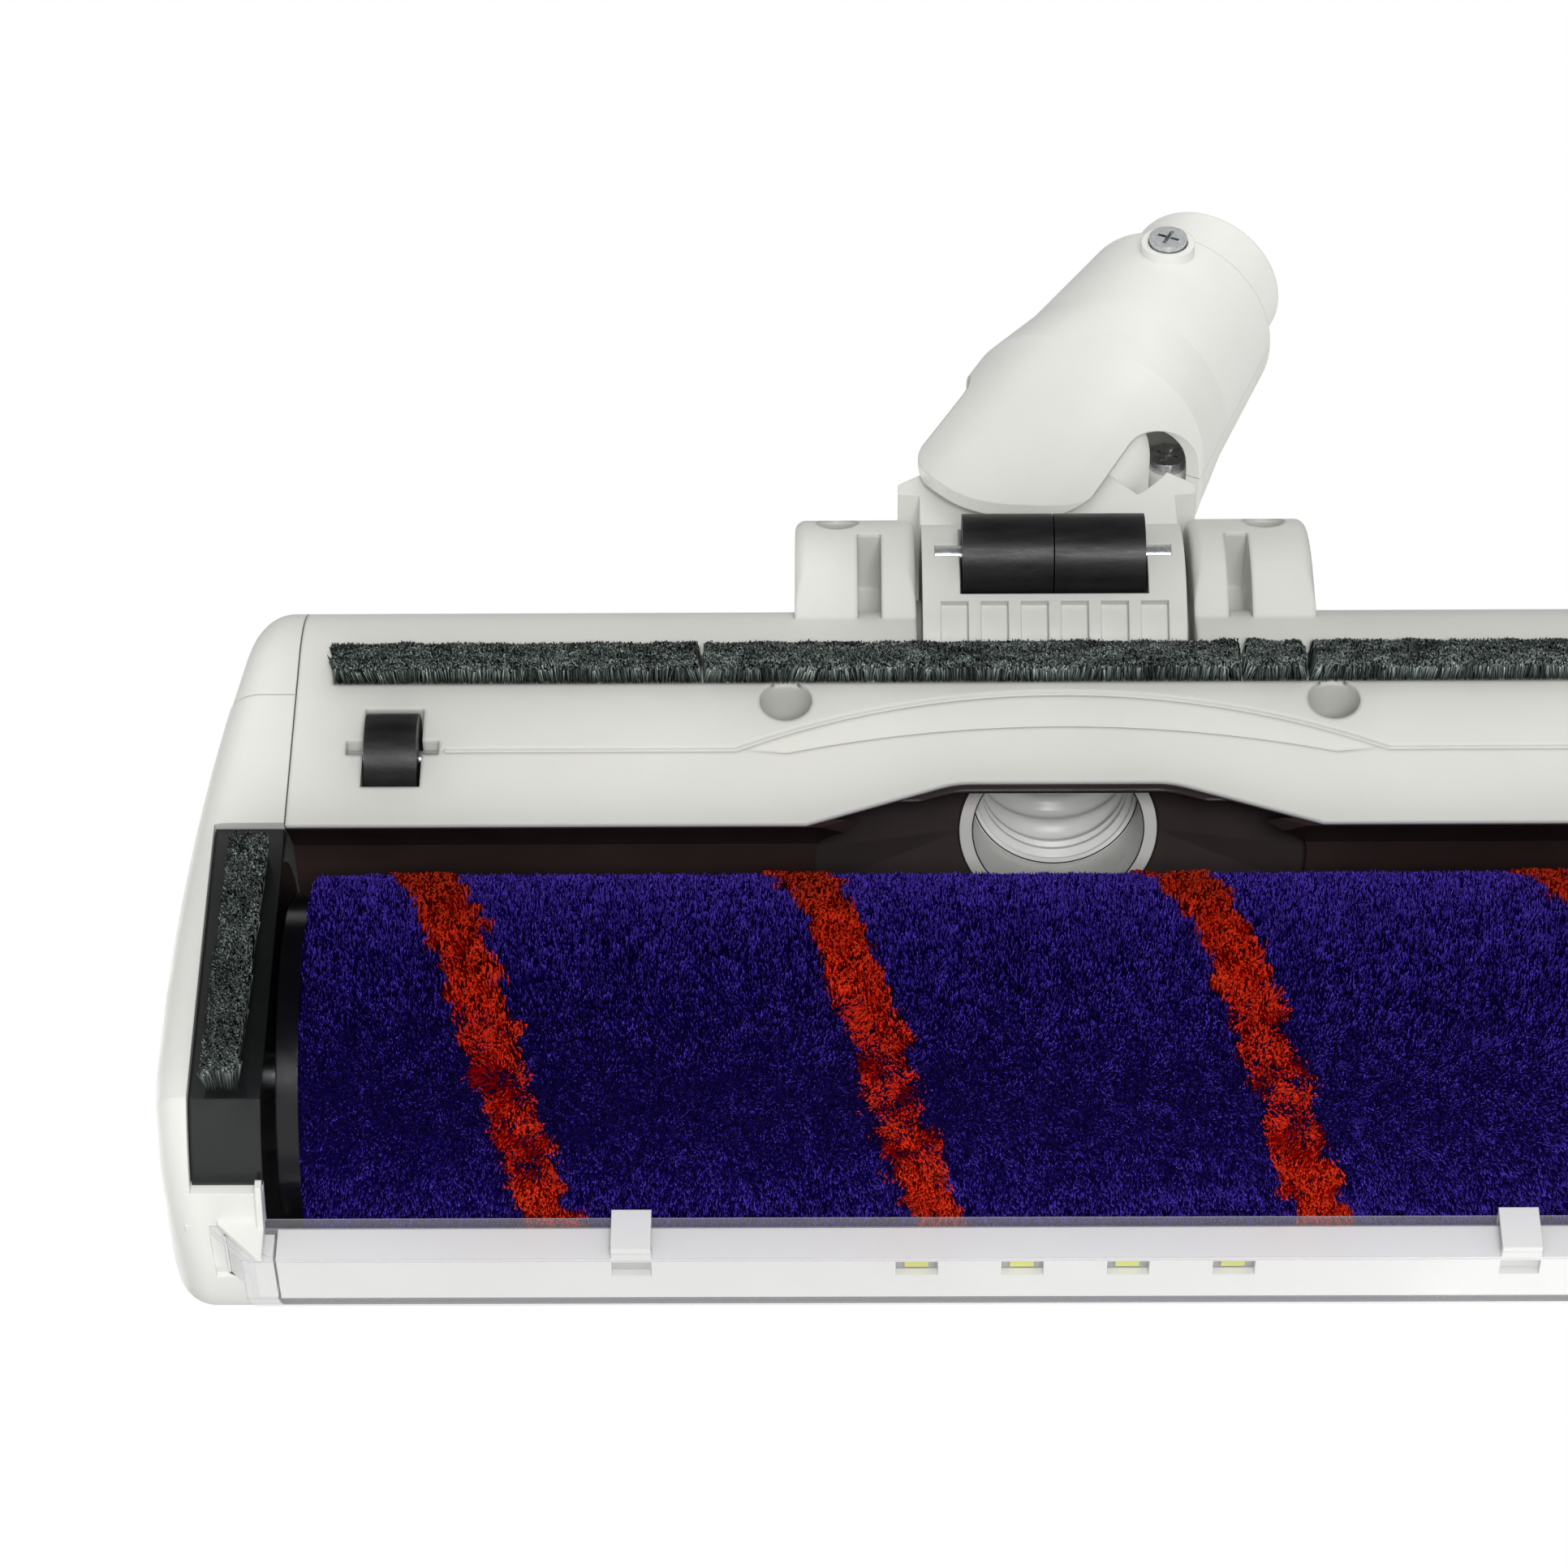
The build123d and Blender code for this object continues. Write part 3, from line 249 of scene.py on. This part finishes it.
dress = {
    "plate": ["base_plate"],
    "housing": ["top_shell", "left_end_cap", "right_end_cap", "yoke_lower", "yoke_upper",
                "neck_lower_shell", "neck_upper_shell", "spigot"],
    "whiteBar": ["light_bar"],
    "blackGloss": ["left_side_plate", "right_side_plate"],
    "endRing": ["left_roller_ring", "right_roller_ring"],
    "liner": ["chamber_liner"],
    "funnel": ["suction_funnel"],
    "hood": ["roller_hood"],
    "lens": ["light_lens"],
    "duct": ["suction_ring"],
    "hose": ["suction_hose"],
    "rubber": ["drive_belt", "left_wheel", "right_wheel", "left_rear_roller", "right_rear_roller"],
    "steel": ["housing_screws", "neck_screws", "wheel_axles", "rear_wheel_axle", "roller_stub_axles",
              "motor_shaft"],
    "motor": ["motor"],
    "brass": ["contact_pins"],
    "bronze": ["left_bearing", "right_bearing"],
    "darkMoulded": ["motor_bracket", "roller_pulley", "motor_pulley", "roller_core", "contact_block"],
    "board": ["led_board"],
    "led": ["leds"],
}
for finish, names in dress.items():
    for name in names:
        slots = nodes[name].data.materials
        if len(slots) == 0:
            slots.append(finishes[finish])
        for index in range(len(slots)):
            slots[index] = finishes[finish]
print("finishes on", sum(len(names) for names in dress.values()), "nodes")


def addPiece(name, mesh):
    piece = bpy.data.objects.new(name, mesh)
    scene.collection.objects.link(piece)
    return piece


def facedPiece(name, points, faces, mat, smooth):
    mesh = bpy.data.meshes.new(name)
    mesh.from_pydata(points, [], faces)
    if smooth:
        mesh.polygons.foreach_set("use_smooth", np.ones(len(faces), bool))
    mesh.materials.append(mat)
    return addPiece(name, mesh)


def fibreMesh(name, roots, tips, sides, normals, tones, mat):
    # one triangle a fibre, narrow at the root and wide at the tip
    count = len(roots)
    points = np.empty((count, 3, 3), np.float32)
    points[:, 0] = roots
    points[:, 1] = tips - sides
    points[:, 2] = tips + sides
    mesh = bpy.data.meshes.new(name)
    mesh.vertices.add(count * 3)
    mesh.vertices.foreach_set("co", points.ravel())
    mesh.loops.add(count * 3)
    mesh.loops.foreach_set("vertex_index", np.arange(count * 3, dtype=np.int32))
    mesh.polygons.add(count)
    mesh.polygons.foreach_set("loop_start", np.arange(0, count * 3, 3, dtype=np.int32))
    mesh.update(calc_edges=True)
    tone = mesh.attributes.new("fibreToneAndShade", "FLOAT", "POINT")
    tone.data.foreach_set("value", tones.astype(np.float32).ravel())
    mesh.polygons.foreach_set("use_smooth", np.ones(count, bool))
    mesh.normals_split_custom_set_from_vertices(np.repeat(normals, 3, axis=0).astype(np.float32))
    mesh.materials.append(mat)
    return addPiece(name, mesh)


def clumps(rng, u, v, sizeU, sizeV, wrapV):
    # smooth random field over a sheet, one value per point
    countU = int(np.ceil((u.max() - u.min()) / sizeU)) + 2
    countV = max(3, int(round(wrapV / sizeV)))
    grid = rng.normal(size=(countU + 1, countV))
    fu = (u - u.min()) / sizeU
    fv = (v / wrapV * countV) % countV
    iu, iv = np.floor(fu).astype(int), np.floor(fv).astype(int) % countV
    du, dv = fu - np.floor(fu), fv - np.floor(fv)
    jv = (iv + 1) % countV
    top = grid[iu, iv] * (1 - dv) + grid[iu, jv] * dv
    bottom = grid[iu + 1, iv] * (1 - dv) + grid[iu + 1, jv] * dv
    return top * (1 - du) + bottom * du


# radii are from the roller's axis; rise and liftRise make the red tufts stand out
napSpec = {
    "seed": 11, "spare": 1.3, "halfLength": 0.1048, "clothHalf": 0.105,
    "rootRadius": 0.0262, "tipRadius": 0.0280, "settle": 0.0002, "comb": 0.00030,
    "liftHeight": 0.00016, "heightJitter": 0.00014, "alongJitter": 0.00018, "aroundJitter": 0.0002,
    "widthRange": (0.7, 1.3), "normalJitter": 0.28, "normalLean": 0.5,
    # tips take the shade value, lighter on raised clumps and darker where they sink as painted shade, plus
    # random tone; the roots take each colour's root tone, painted shade deep in the pile
    "shade": 0.70, "shadeLift": 0.15, "shadeJitter": 0.09,
    "pitch": 0.0525, "stripeAt": 0.09634, "stripeHalf": 0.0035, "stripeGap": 0.0002,
    "ragged": 0.0009, "raggedClump": 0.0016, "raggedJitter": 0.0003,
    "violet": {
        "count": 190000, "pieces": 3, "width": 0.00007, "clump": 0.0015, "reach": 0.00032,
        "rise": 0.0, "liftRise": 0.0, "limit": 0.0283, "paintedRootShade": 0.05, "darkest": 0.2,
        "sheen": 1.0, "sheenTint": (0.20, 0.10, 1.0),
        "stops": [(0.0, (0.0036, 0.0018, 0.028)), (0.45, (0.026, 0.012, 0.22)), (1.0, (0.17, 0.09, 1.0))],
    },
    "red": {
        "count": 150000, "width": 0.00013, "clump": 0.0021, "reach": 0.00042,
        "rise": 0.0003, "liftRise": 0.00025, "limit": 0.0285, "paintedRootShade": 0.3, "darkest": 0.5,
        "alongSpread": 0.0002, "turnSpread": 0.008,
        "sheen": 0.5, "sheenTint": (1.0, 0.10, 0.04),
        "stops": [(0.0, (0.26, 0.008, 0.003)), (0.4, (0.82, 0.024, 0.008)), (1.0, (1.0, 0.065, 0.020))],
    },
}
napMaterials = {}
for colour in ("violet", "red"):
    kind = napSpec[colour]
    napMaterials[colour] = fibreMaterial(colour + "Nap", kind["stops"], kind["sheen"], kind["sheenTint"])


def stripeOffset(x, angle, spec):
    # distance along the roller to the nearest turn of the stripe
    along = x - spec["stripeAt"] - spec["pitch"] * angle / (2 * math.pi)
    return along - spec["pitch"] * np.round(along / spec["pitch"])


def napFibres(name, rng, x, angle, colour, spec):
    kind, count = spec[colour], len(x)
    arc, around = angle * spec["tipRadius"], 2 * math.pi * spec["tipRadius"]
    clump, reach = kind["clump"], kind["reach"]
    lift, leanX, leanA = (clumps(rng, x, arc, clump, clump, around) for field in range(3))
    tip = spec["tipRadius"] - spec["settle"] + spec["liftHeight"] * lift
    tip += rng.normal(0, spec["heightJitter"], count)
    tip += kind["rise"] + kind["liftRise"] * lift
    tip = np.minimum(tip, kind["limit"])
    tipX = x + reach * leanX + rng.normal(0, spec["alongJitter"], count)
    tipX = np.clip(tipX, -spec["clothHalf"], spec["clothHalf"])
    leaning = reach * leanA + spec["comb"] + rng.normal(0, spec["aroundJitter"], count)
    tipA = angle + leaning / spec["tipRadius"]
    flat = np.zeros(count)
    radialRoot = np.stack([flat, np.cos(angle), np.sin(angle)], 1)
    radialTip = np.stack([flat, np.cos(tipA), np.sin(tipA)], 1)
    root = np.array(rollerAxis) + radialRoot * spec["rootRadius"]
    root[:, 0] = x
    tipPoint = np.array(rollerAxis) + radialTip * tip[:, None]
    tipPoint[:, 0] = tipX
    spin = rng.uniform(0, math.pi, count)
    side = np.stack([flat, -np.sin(angle), np.cos(angle)], 1) * np.sin(spin)[:, None]
    side[:, 0] += np.cos(spin)
    side *= (kind["width"] * rng.uniform(*spec["widthRange"], count))[:, None]
    normal = radialTip + spec["normalJitter"] * rng.normal(size=(count, 3))
    normal[:, 0] += spec["normalLean"] * leanX
    normal /= np.linalg.norm(normal, axis=1)[:, None]
    # painted shade: every root dark, and tips darker where the clumps sink; the random spread is tone
    shade = spec["shade"] + spec["shadeLift"] * lift + rng.normal(0, spec["shadeJitter"], count)
    shade = np.clip(shade, kind["darkest"], 1)
    tones = np.stack([np.full(count, kind["paintedRootShade"]), shade, shade], 1)
    piece = fibreMesh(name, root, tipPoint, side, normal, tones, napMaterials[colour])
    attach(piece, "roller")
    print(name, count, "fibres")
    return piece


def rollerNap(spec):
    rng = np.random.default_rng(spec["seed"])
    parts = spec["violet"]["pieces"]
    want = spec["violet"]["count"] * parts
    total = int(want * spec["spare"])
    x = rng.uniform(-spec["halfLength"], spec["halfLength"], total)
    angle = rng.uniform(-math.pi, math.pi, total)
    arc, around = angle * spec["tipRadius"], 2 * math.pi * spec["tipRadius"]
    clump = spec["raggedClump"]
    edge = np.abs(stripeOffset(x, angle, spec)) - spec["stripeHalf"]
    edge += spec["ragged"] * clumps(rng, x, arc, clump, clump, around)
    edge += spec["raggedJitter"] * rng.normal(size=total)
    pieces = []
    violet = np.flatnonzero(edge > spec["stripeGap"])[:want]
    for part in range(parts):
        pick = violet[part::parts]
        pieces.append(napFibres(f"violetNap.{part + 1}", rng, x[pick], angle[pick], "violet", spec))
    red = np.resize(np.flatnonzero(edge < 0.0), spec["red"]["count"])
    redX = x[red] + rng.normal(0, spec["red"]["alongSpread"], len(red))
    redAngle = angle[red] + rng.normal(0, spec["red"]["turnSpread"], len(red))
    pieces.append(napFibres("redStripe", rng, redX, redAngle, "red", spec))
    return pieces


def lathe(name, profile, steps, mat, centre):
    # closed profile of (along, radius) pairs, turned about X through centre
    points, faces = [], []
    for step in range(steps):
        a = 2 * math.pi * step / steps
        for along, radius in profile:
            points.append((along, radius * math.cos(a), radius * math.sin(a)))
    rows = len(profile)
    for step in range(steps):
        here, beyond = step * rows, (step + 1) % steps * rows
        for row in range(rows):
            nextRow = (row + 1) % rows
            faces.append((here + row, beyond + row, beyond + nextRow, here + nextRow))
    return facedPiece(name, [tuple(Vector(p) + centre) for p in points], faces, mat, smooth=True)


backingSpec = {
    "edgeHalf": 0.1046, "innerRadius": 0.0224, "edgeRadius": 0.0264, "outerRadius": 0.0267, "steps": 128,
    # cloth colours: nearly black, painted shade in the gaps of the pile
    "stops": [(0.3, (0.002, 0.001, 0.014)), (0.7, (0.008, 0.004, 0.060))],
}


def napBacking(spec, half):
    # cloth under the nap, with its ends a little rounded; its nearly black colour is painted shade deep in
    # the pile
    inner, edge, outer = spec["innerRadius"], spec["edgeRadius"], spec["outerRadius"]
    profile = [(-half, inner), (-half, edge), (-spec["edgeHalf"], outer),
               (spec["edgeHalf"], outer), (half, edge), (half, inner)]
    cloth = clothBacking("napClothInShade", spec["stops"])
    backing = lathe("napBacking", profile, spec["steps"], cloth, rollerAxis)
    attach(backing, "roller")


napPieces = rollerNap(napSpec)
napBacking(backingSpec, napSpec["clothHalf"])
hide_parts("roller_sleeve")
print("roller nap done")

# splits: place along the strip and how far the pile parts there
feltSpec = {
    "stops": [(0.0, (0.012, 0.014, 0.013)), (0.45, (0.17, 0.21, 0.195)), (1.0, (0.66, 0.76, 0.71))],
    "sheen": 0.2, "sheenTint": (0.8, 0.85, 0.83),
    "rearCount": 130000, "rearSeed": 5, "sideCount": 30000, "sideSeed": 7,
    "sideWidth": 0.005, "sideInset": 0.0003, "fibreWidth": 0.00010, "widthRange": (0.7, 1.3),
    "splits": [(0.053, 0.0008), (0.1305, 0.0007), (0.140, 0.0009)], "splitReach": 0.0022,
    "liftClump": (0.0022, 0.0012), "leanClump": (0.0030, 0.0014), "clumpWrap": 8,
    "rootSpread": 0.44, "tipSpread": 0.5, "spreadRange": (0.92, 1.08),
    "leanAlong": 0.00040, "leanAcross": 0.00016, "jitterAlong": 0.00022, "jitterAcross": 0.00014,
    "tipHeight": 0.00035, "edgeRise": 0.0006, "liftHeight": 0.00018, "heightJitter": 0.00022,
    "lowest": 0.0001, "facingDown": 0.8, "normalJitter": 0.45,
    # tips take the shade value, lighter on raised clumps and darker where they sink as painted shade, plus
    # random tone; the roots take the root tone, painted shade under the pile
    "shade": 0.54, "shadeLift": 0.20, "shadeJitter": 0.22, "darkest": 0.05, "paintedRootShade": 0.08,
}
feltMaterial = fibreMaterial("greyFelt", feltSpec["stops"], feltSpec["sheen"], feltSpec["sheenTint"])


def feltStrip(name, start, end, width, topZ, count, seed, node, spec, splits=()):
    rng = np.random.default_rng(seed)
    start, end = np.array(start), np.array(end)
    length = np.linalg.norm(end - start)
    along = (end - start) / length
    across = np.array([-along[1], along[0]])
    t = rng.uniform(0, length, count)
    s = rng.uniform(-1, 1, count)
    wrap = width * spec["clumpWrap"]
    lift = clumps(rng, t, s * width, *spec["liftClump"], wrap)
    leanT = clumps(rng, t, s * width, *spec["leanClump"], wrap)
    leanS = clumps(rng, t, s * width, *spec["leanClump"], wrap)
    root2 = start + along * t[:, None] + across * (s * width * spec["rootSpread"])[:, None]
    spread = width * spec["tipSpread"] * s * rng.uniform(*spec["spreadRange"], count)
    tipT = t + spec["leanAlong"] * leanT + rng.normal(0, spec["jitterAlong"], count)
    tipS = spread + spec["leanAcross"] * leanS + rng.normal(0, spec["jitterAcross"], count)
    for place, gap in splits:
        away = t - place
        near = np.exp(-(away / spec["splitReach"]) ** 2)
        tipT += np.sign(away) * near * gap
    tip2 = start + along * tipT[:, None] + across * tipS[:, None]
    low = spec["tipHeight"] + spec["edgeRise"] * np.abs(s) ** 4 + spec["liftHeight"] * lift
    low += np.abs(rng.normal(0, spec["heightJitter"], count))
    roots = np.column_stack([root2, np.full(count, topZ)])
    tips = np.column_stack([tip2, np.maximum(low, spec["lowest"])])
    spin = rng.uniform(0, math.pi, count)
    sides = np.zeros((count, 3))
    sides[:, 0], sides[:, 1] = np.cos(spin), np.sin(spin)
    sides *= (spec["fibreWidth"] * rng.uniform(*spec["widthRange"], count))[:, None]
    outward = np.zeros((count, 3))
    outward[:, :2] = across * (s ** 3)[:, None]
    outward[:, 2] = -spec["facingDown"]
    normals = outward + spec["normalJitter"] * rng.normal(size=(count, 3))
    normals /= np.linalg.norm(normals, axis=1)[:, None]
    # painted shade: every root dark, and tips darker where the clumps sink; the random spread is tone
    shade = spec["shade"] + spec["shadeLift"] * lift + rng.normal(0, spec["shadeJitter"], count)
    shade = np.clip(shade, spec["darkest"], 1)
    tones = np.stack([np.full(count, spec["paintedRootShade"]), shade, shade], 1)
    piece = fibreMesh(name, roots, tips, sides, normals, tones, feltMaterial)
    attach(piece, "head")
    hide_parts(node)


feltLow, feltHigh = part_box("rear_felt_strip")
midY = (feltLow.y + feltHigh.y) / 2
feltStrip("rearFelt", (feltHigh.x, midY), (feltLow.x, midY), feltHigh.y - feltLow.y, feltHigh.z,
          feltSpec["rearCount"], feltSpec["rearSeed"], "rear_felt_strip", feltSpec, feltSpec["splits"])
for name, node, sign in (("leftFelt", "left_side_felt", 1), ("rightFelt", "right_side_felt", -1)):
    low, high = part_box(node)
    inner, outer = sorted((abs(low.x), abs(high.x)))
    half, inset = feltSpec["sideWidth"] / 2, feltSpec["sideInset"]
    feltStrip(name, ((inner + half) * sign, high.y - inset), ((outer - half) * sign, low.y + inset),
              feltSpec["sideWidth"], high.z, feltSpec["sideCount"], feltSpec["sideSeed"], node, feltSpec)
print("felt strips done")

# rings: name, radius and place along the suction path
sealSpec = {
    "behindRoller": 0.0385, "belowRoller": 0.0068, "pitch": 20.0, "thickness": 0.00011,
    "turns": 96, "sides": 6,
    "rings": [("ringOuterSeal", 0.01434, 0.00005), ("ringBoreSeal", 0.01238, 0.00005),
              ("collarSeam", 0.0122, 0.0110)],
}


def sealRing(name, radius, along, spec, mat):
    # thin dark line round the suction path, whose axis rises towards the back
    pitch = math.radians(spec["pitch"])
    axis = Vector((0, math.cos(pitch), math.sin(pitch)))
    up = Vector((0, -math.sin(pitch), math.cos(pitch)))
    centre = rollerAxis + Vector((0, spec["behindRoller"], -spec["belowRoller"])) + axis * along
    points, faces = [], []
    turns, sides, thick = spec["turns"], spec["sides"], spec["thickness"]
    for turn in range(turns):
        a = 2 * math.pi * turn / turns
        out = Vector((math.cos(a), 0, 0)) + up * math.sin(a)
        for side in range(sides):
            b = 2 * math.pi * side / sides
            ring = out * (radius + thick * math.cos(b)) + axis * thick * math.sin(b)
            points.append(tuple(centre + ring))
    for turn in range(turns):
        here, beyond = turn * sides, (turn + 1) % turns * sides
        for side in range(sides):
            after = (side + 1) % sides
            faces.append((here + side, beyond + side, beyond + after, here + after))
    piece = facedPiece(name, points, faces, mat, smooth=False)
    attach(piece, "head")


for name, radius, along in sealSpec["rings"]:
    sealRing(name, radius, along, sealSpec, finishes["rubber"])
print("suction seals done")

# start and end: behind the roller's axis, above it, and lean in degrees
bendSpec = {
    "start": (0.05290, -0.00155, 20.0), "end": (0.05850, -0.0030, -15.0),
    "radius": 0.0117, "ridge": 0.0006, "ridges": 3, "rows": 36, "turns": 96,
    "barrelAt": (0.075, -0.004), "barrelClear": 0.0197,
}


def hoseBend(spec):
    # the hose goes on from its fixed end and turns down to the front of the tilting barrel
    points, faces = [], []
    rows, turns = spec["rows"], spec["turns"]
    barrelY, barrelZ = spec["barrelAt"]
    for row in range(rows + 1):
        t = row / rows
        y, z, lean = (a * (1 - t) + b * t for a, b in zip(spec["start"], spec["end"]))
        lean = math.radians(lean)
        radius = spec["radius"] - spec["ridge"] * math.cos(2 * math.pi * spec["ridges"] * t)
        for turn in range(turns):
            a = 2 * math.pi * turn / turns
            pointY = y - radius * math.sin(a) * math.sin(lean)
            pointZ = z + radius * math.sin(a) * math.cos(lean)
            reach = spec["barrelClear"] ** 2 - (pointZ - barrelZ) ** 2
            if reach > 0:
                pointY = min(pointY, barrelY - math.sqrt(reach))
            points.append(tuple(rollerAxis + Vector((radius * math.cos(a), pointY, pointZ))))
    for row in range(rows):
        here, beyond = row * turns, (row + 1) * turns
        for turn in range(turns):
            after = (turn + 1) % turns
            faces.append((here + turn, here + after, beyond + after, beyond + turn))
    piece = facedPiece("hoseBend", points, faces, finishes["hose"], smooth=True)
    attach(piece, "head")


hoseBend(bendSpec)
print("hose bend done")

# the wall's Y is from the roller's axis
cornerSpec = {
    "beyondBar": 0.0004, "inset": 0.0015, "chamfer": 0.0045,
    "wallX": (0.1098, 0.1205), "wallY": (-0.0312, -0.0298), "wallZ": (0.0204, 0.0312),
}


def whitePrism(name, outline, low, high, sign):
    count = len(outline)
    points = [(x * sign, y, z) for z in (low, high) for x, y in outline]
    faces = [tuple(range(count)), tuple(range(2 * count - 1, count - 1, -1))]
    for index in range(count):
        after = (index + 1) % count
        faces.append((index, index + count, after + count, after))
    if sign < 0:
        faces = [face[::-1] for face in faces]
    piece = facedPiece(name, points, faces, finishes["whiteBar"], smooth=False)
    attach(piece, "head")


def lensCorner(name, sign, spec):
    # pale block behind the clear end of the lens and the housing wall behind it
    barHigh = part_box("light_bar")[1]
    lensLow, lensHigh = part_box("light_lens")
    inner, outer = barHigh.x + spec["beyondBar"], lensHigh.x - spec["inset"]
    front, rear = lensLow.y + spec["inset"], lensHigh.y - spec["inset"]
    outline = [(inner, rear), (inner, front), (outer - spec["chamfer"], front),
               (outer, front + spec["chamfer"]), (outer, rear)]
    whitePrism(name, outline, lensLow.z + spec["inset"], lensHigh.z, sign)
    inner, outer = spec["wallX"]
    front, rear = (y + rollerAxis.y for y in spec["wallY"])
    wall = [(inner, rear), (inner, front), (outer, front), (outer, rear)]
    whitePrism(name + "Wall", wall, *spec["wallZ"], sign)


lensCorner("leftLensCorner", 1, cornerSpec)
lensCorner("rightLensCorner", -1, cornerSpec)
print("lens corners done")

stageSpec = {
    "floorHalf": 3.0, "floorZ": -0.0005, "floorColour": (0.86, 0.86, 0.86), "floorRough": 0.8,
    "floorDuller": 0.985, "world": 0.36,
}


def oneSidedFloor(spec):
    mat, tree, skin = newMaterial("paleFloor")
    cloudy = noiseNode(tree, scale=6, detail=4)
    duller = tuple(c * spec["floorDuller"] for c in spec["floorColour"])
    tint = rampNode(tree, cloudy.outputs["Fac"], [(0.3, duller), (0.7, spec["floorColour"])])
    tree.links.new(tint.outputs["Color"], skin.inputs["Base Color"])
    skin.inputs["Roughness"].default_value = spec["floorRough"]
    # seen from above only: the lamps under it light the underside of the object
    clear = tree.nodes.new("ShaderNodeBsdfTransparent")
    mix = tree.nodes.new("ShaderNodeMixShader")
    facing = tree.nodes.new("ShaderNodeNewGeometry")
    path = tree.nodes.new("ShaderNodeLightPath")
    either = tree.nodes.new("ShaderNodeMath")
    either.operation = "MAXIMUM"
    tree.links.new(facing.outputs["Backfacing"], either.inputs[0])
    tree.links.new(path.outputs["Is Shadow Ray"], either.inputs[1])
    tree.links.new(either.outputs["Value"], mix.inputs["Fac"])
    tree.links.new(skin.outputs["BSDF"], mix.inputs[1])
    tree.links.new(clear.outputs["BSDF"], mix.inputs[2])
    tree.links.new(mix.outputs["Shader"], tree.nodes["Material Output"].inputs["Surface"])
    half = spec["floorHalf"]
    corners = [(-half, -half), (half, -half), (half, half), (-half, half)]
    points = [(x, y, spec["floorZ"]) for x, y in corners]
    floor = facedPiece("floor", points, [(0, 1, 2, 3)], mat, smooth=False)


def plainWorld(strength):
    # white where the camera sees it, also through clear plastic, and dimmer as a light
    world = bpy.data.worlds.new("plainWorld")
    scene.world = world
    world.use_nodes = True
    tree = world.node_tree
    back = tree.nodes["Background"]
    back.inputs["Color"].default_value = (1, 1, 1, 1)
    path = tree.nodes.new("ShaderNodeLightPath")
    seen = tree.nodes.new("ShaderNodeMath")
    seen.operation = "MAXIMUM"
    tree.links.new(path.outputs["Is Camera Ray"], seen.inputs[0])
    tree.links.new(path.outputs["Is Transmission Ray"], seen.inputs[1])
    level = rangeNode(tree, seen.outputs["Value"], low=strength, high=1.0, fromLow=0.0, fromHigh=1.0)
    tree.links.new(level.outputs["Result"], back.inputs["Strength"])


# each lamp: place, side of its square and watts; all point at the target
lampTarget = (0, 0, 0.02)
lamps = {
    "underKey": ((-0.12, -1.25, -1.60), 0.6, 23),
    "underRear": ((-0.3, 0.9, -1.4), 0.8, 2.4),
    "topKey": ((-0.6, -0.7, 1.0), 0.8, 9.5),
    "topFill": ((0.8, 0.4, 0.8), 0.8, 4),
}


def softLamp(name, place, size, watts):
    lamp = bpy.data.lights.new(name, "AREA")
    lamp.shape = "RECTANGLE"
    lamp.size, lamp.size_y = size, size
    lamp.energy = watts
    light = bpy.data.objects.new(name, lamp)
    light.location = place
    light.rotation_euler = (Vector(lampTarget) - Vector(place)).to_track_quat("-Z", "Y").to_euler()
    light.visible_camera = False
    scene.collection.objects.link(light)


oneSidedFloor(stageSpec)
plainWorld(stageSpec["world"])
for name, (place, size, watts) in lamps.items():
    softLamp(name, place, size, watts)

# the photo's camera; its focal length is in pixels of the photo
cameraSpec = {
    "x": 0.032194, "behindRoller": -0.40879, "z": -0.522456,
    "right": (-0.999938, 0.003848, 0.010458), "up": (-0.003774, 0.766106, -0.642703),
    "look": (0.010485, 0.642702, 0.766044),
    "focalPixels": 6000.16, "photoPixels": 1932, "sensorWidth": 36, "clipStart": 0.01,
}
cameraPlace = Vector((cameraSpec["x"], rollerAxis.y + cameraSpec["behindRoller"], cameraSpec["z"]))
camera = bpy.data.objects.new("photoCamera", bpy.data.cameras.new("photoCamera"))
scene.collection.objects.link(camera)
right, up, look = (Vector(cameraSpec[key]) for key in ("right", "up", "look"))
turn = Matrix((right, up, -look)).transposed().to_4x4()
camera.matrix_world = Matrix.Translation(cameraPlace) @ turn
camera.data.sensor_width = cameraSpec["sensorWidth"]
camera.data.lens = cameraSpec["focalPixels"] * cameraSpec["sensorWidth"] / cameraSpec["photoPixels"]
camera.data.clip_start = cameraSpec["clipStart"]
scene.camera = camera
print("stage, lamps and camera done")
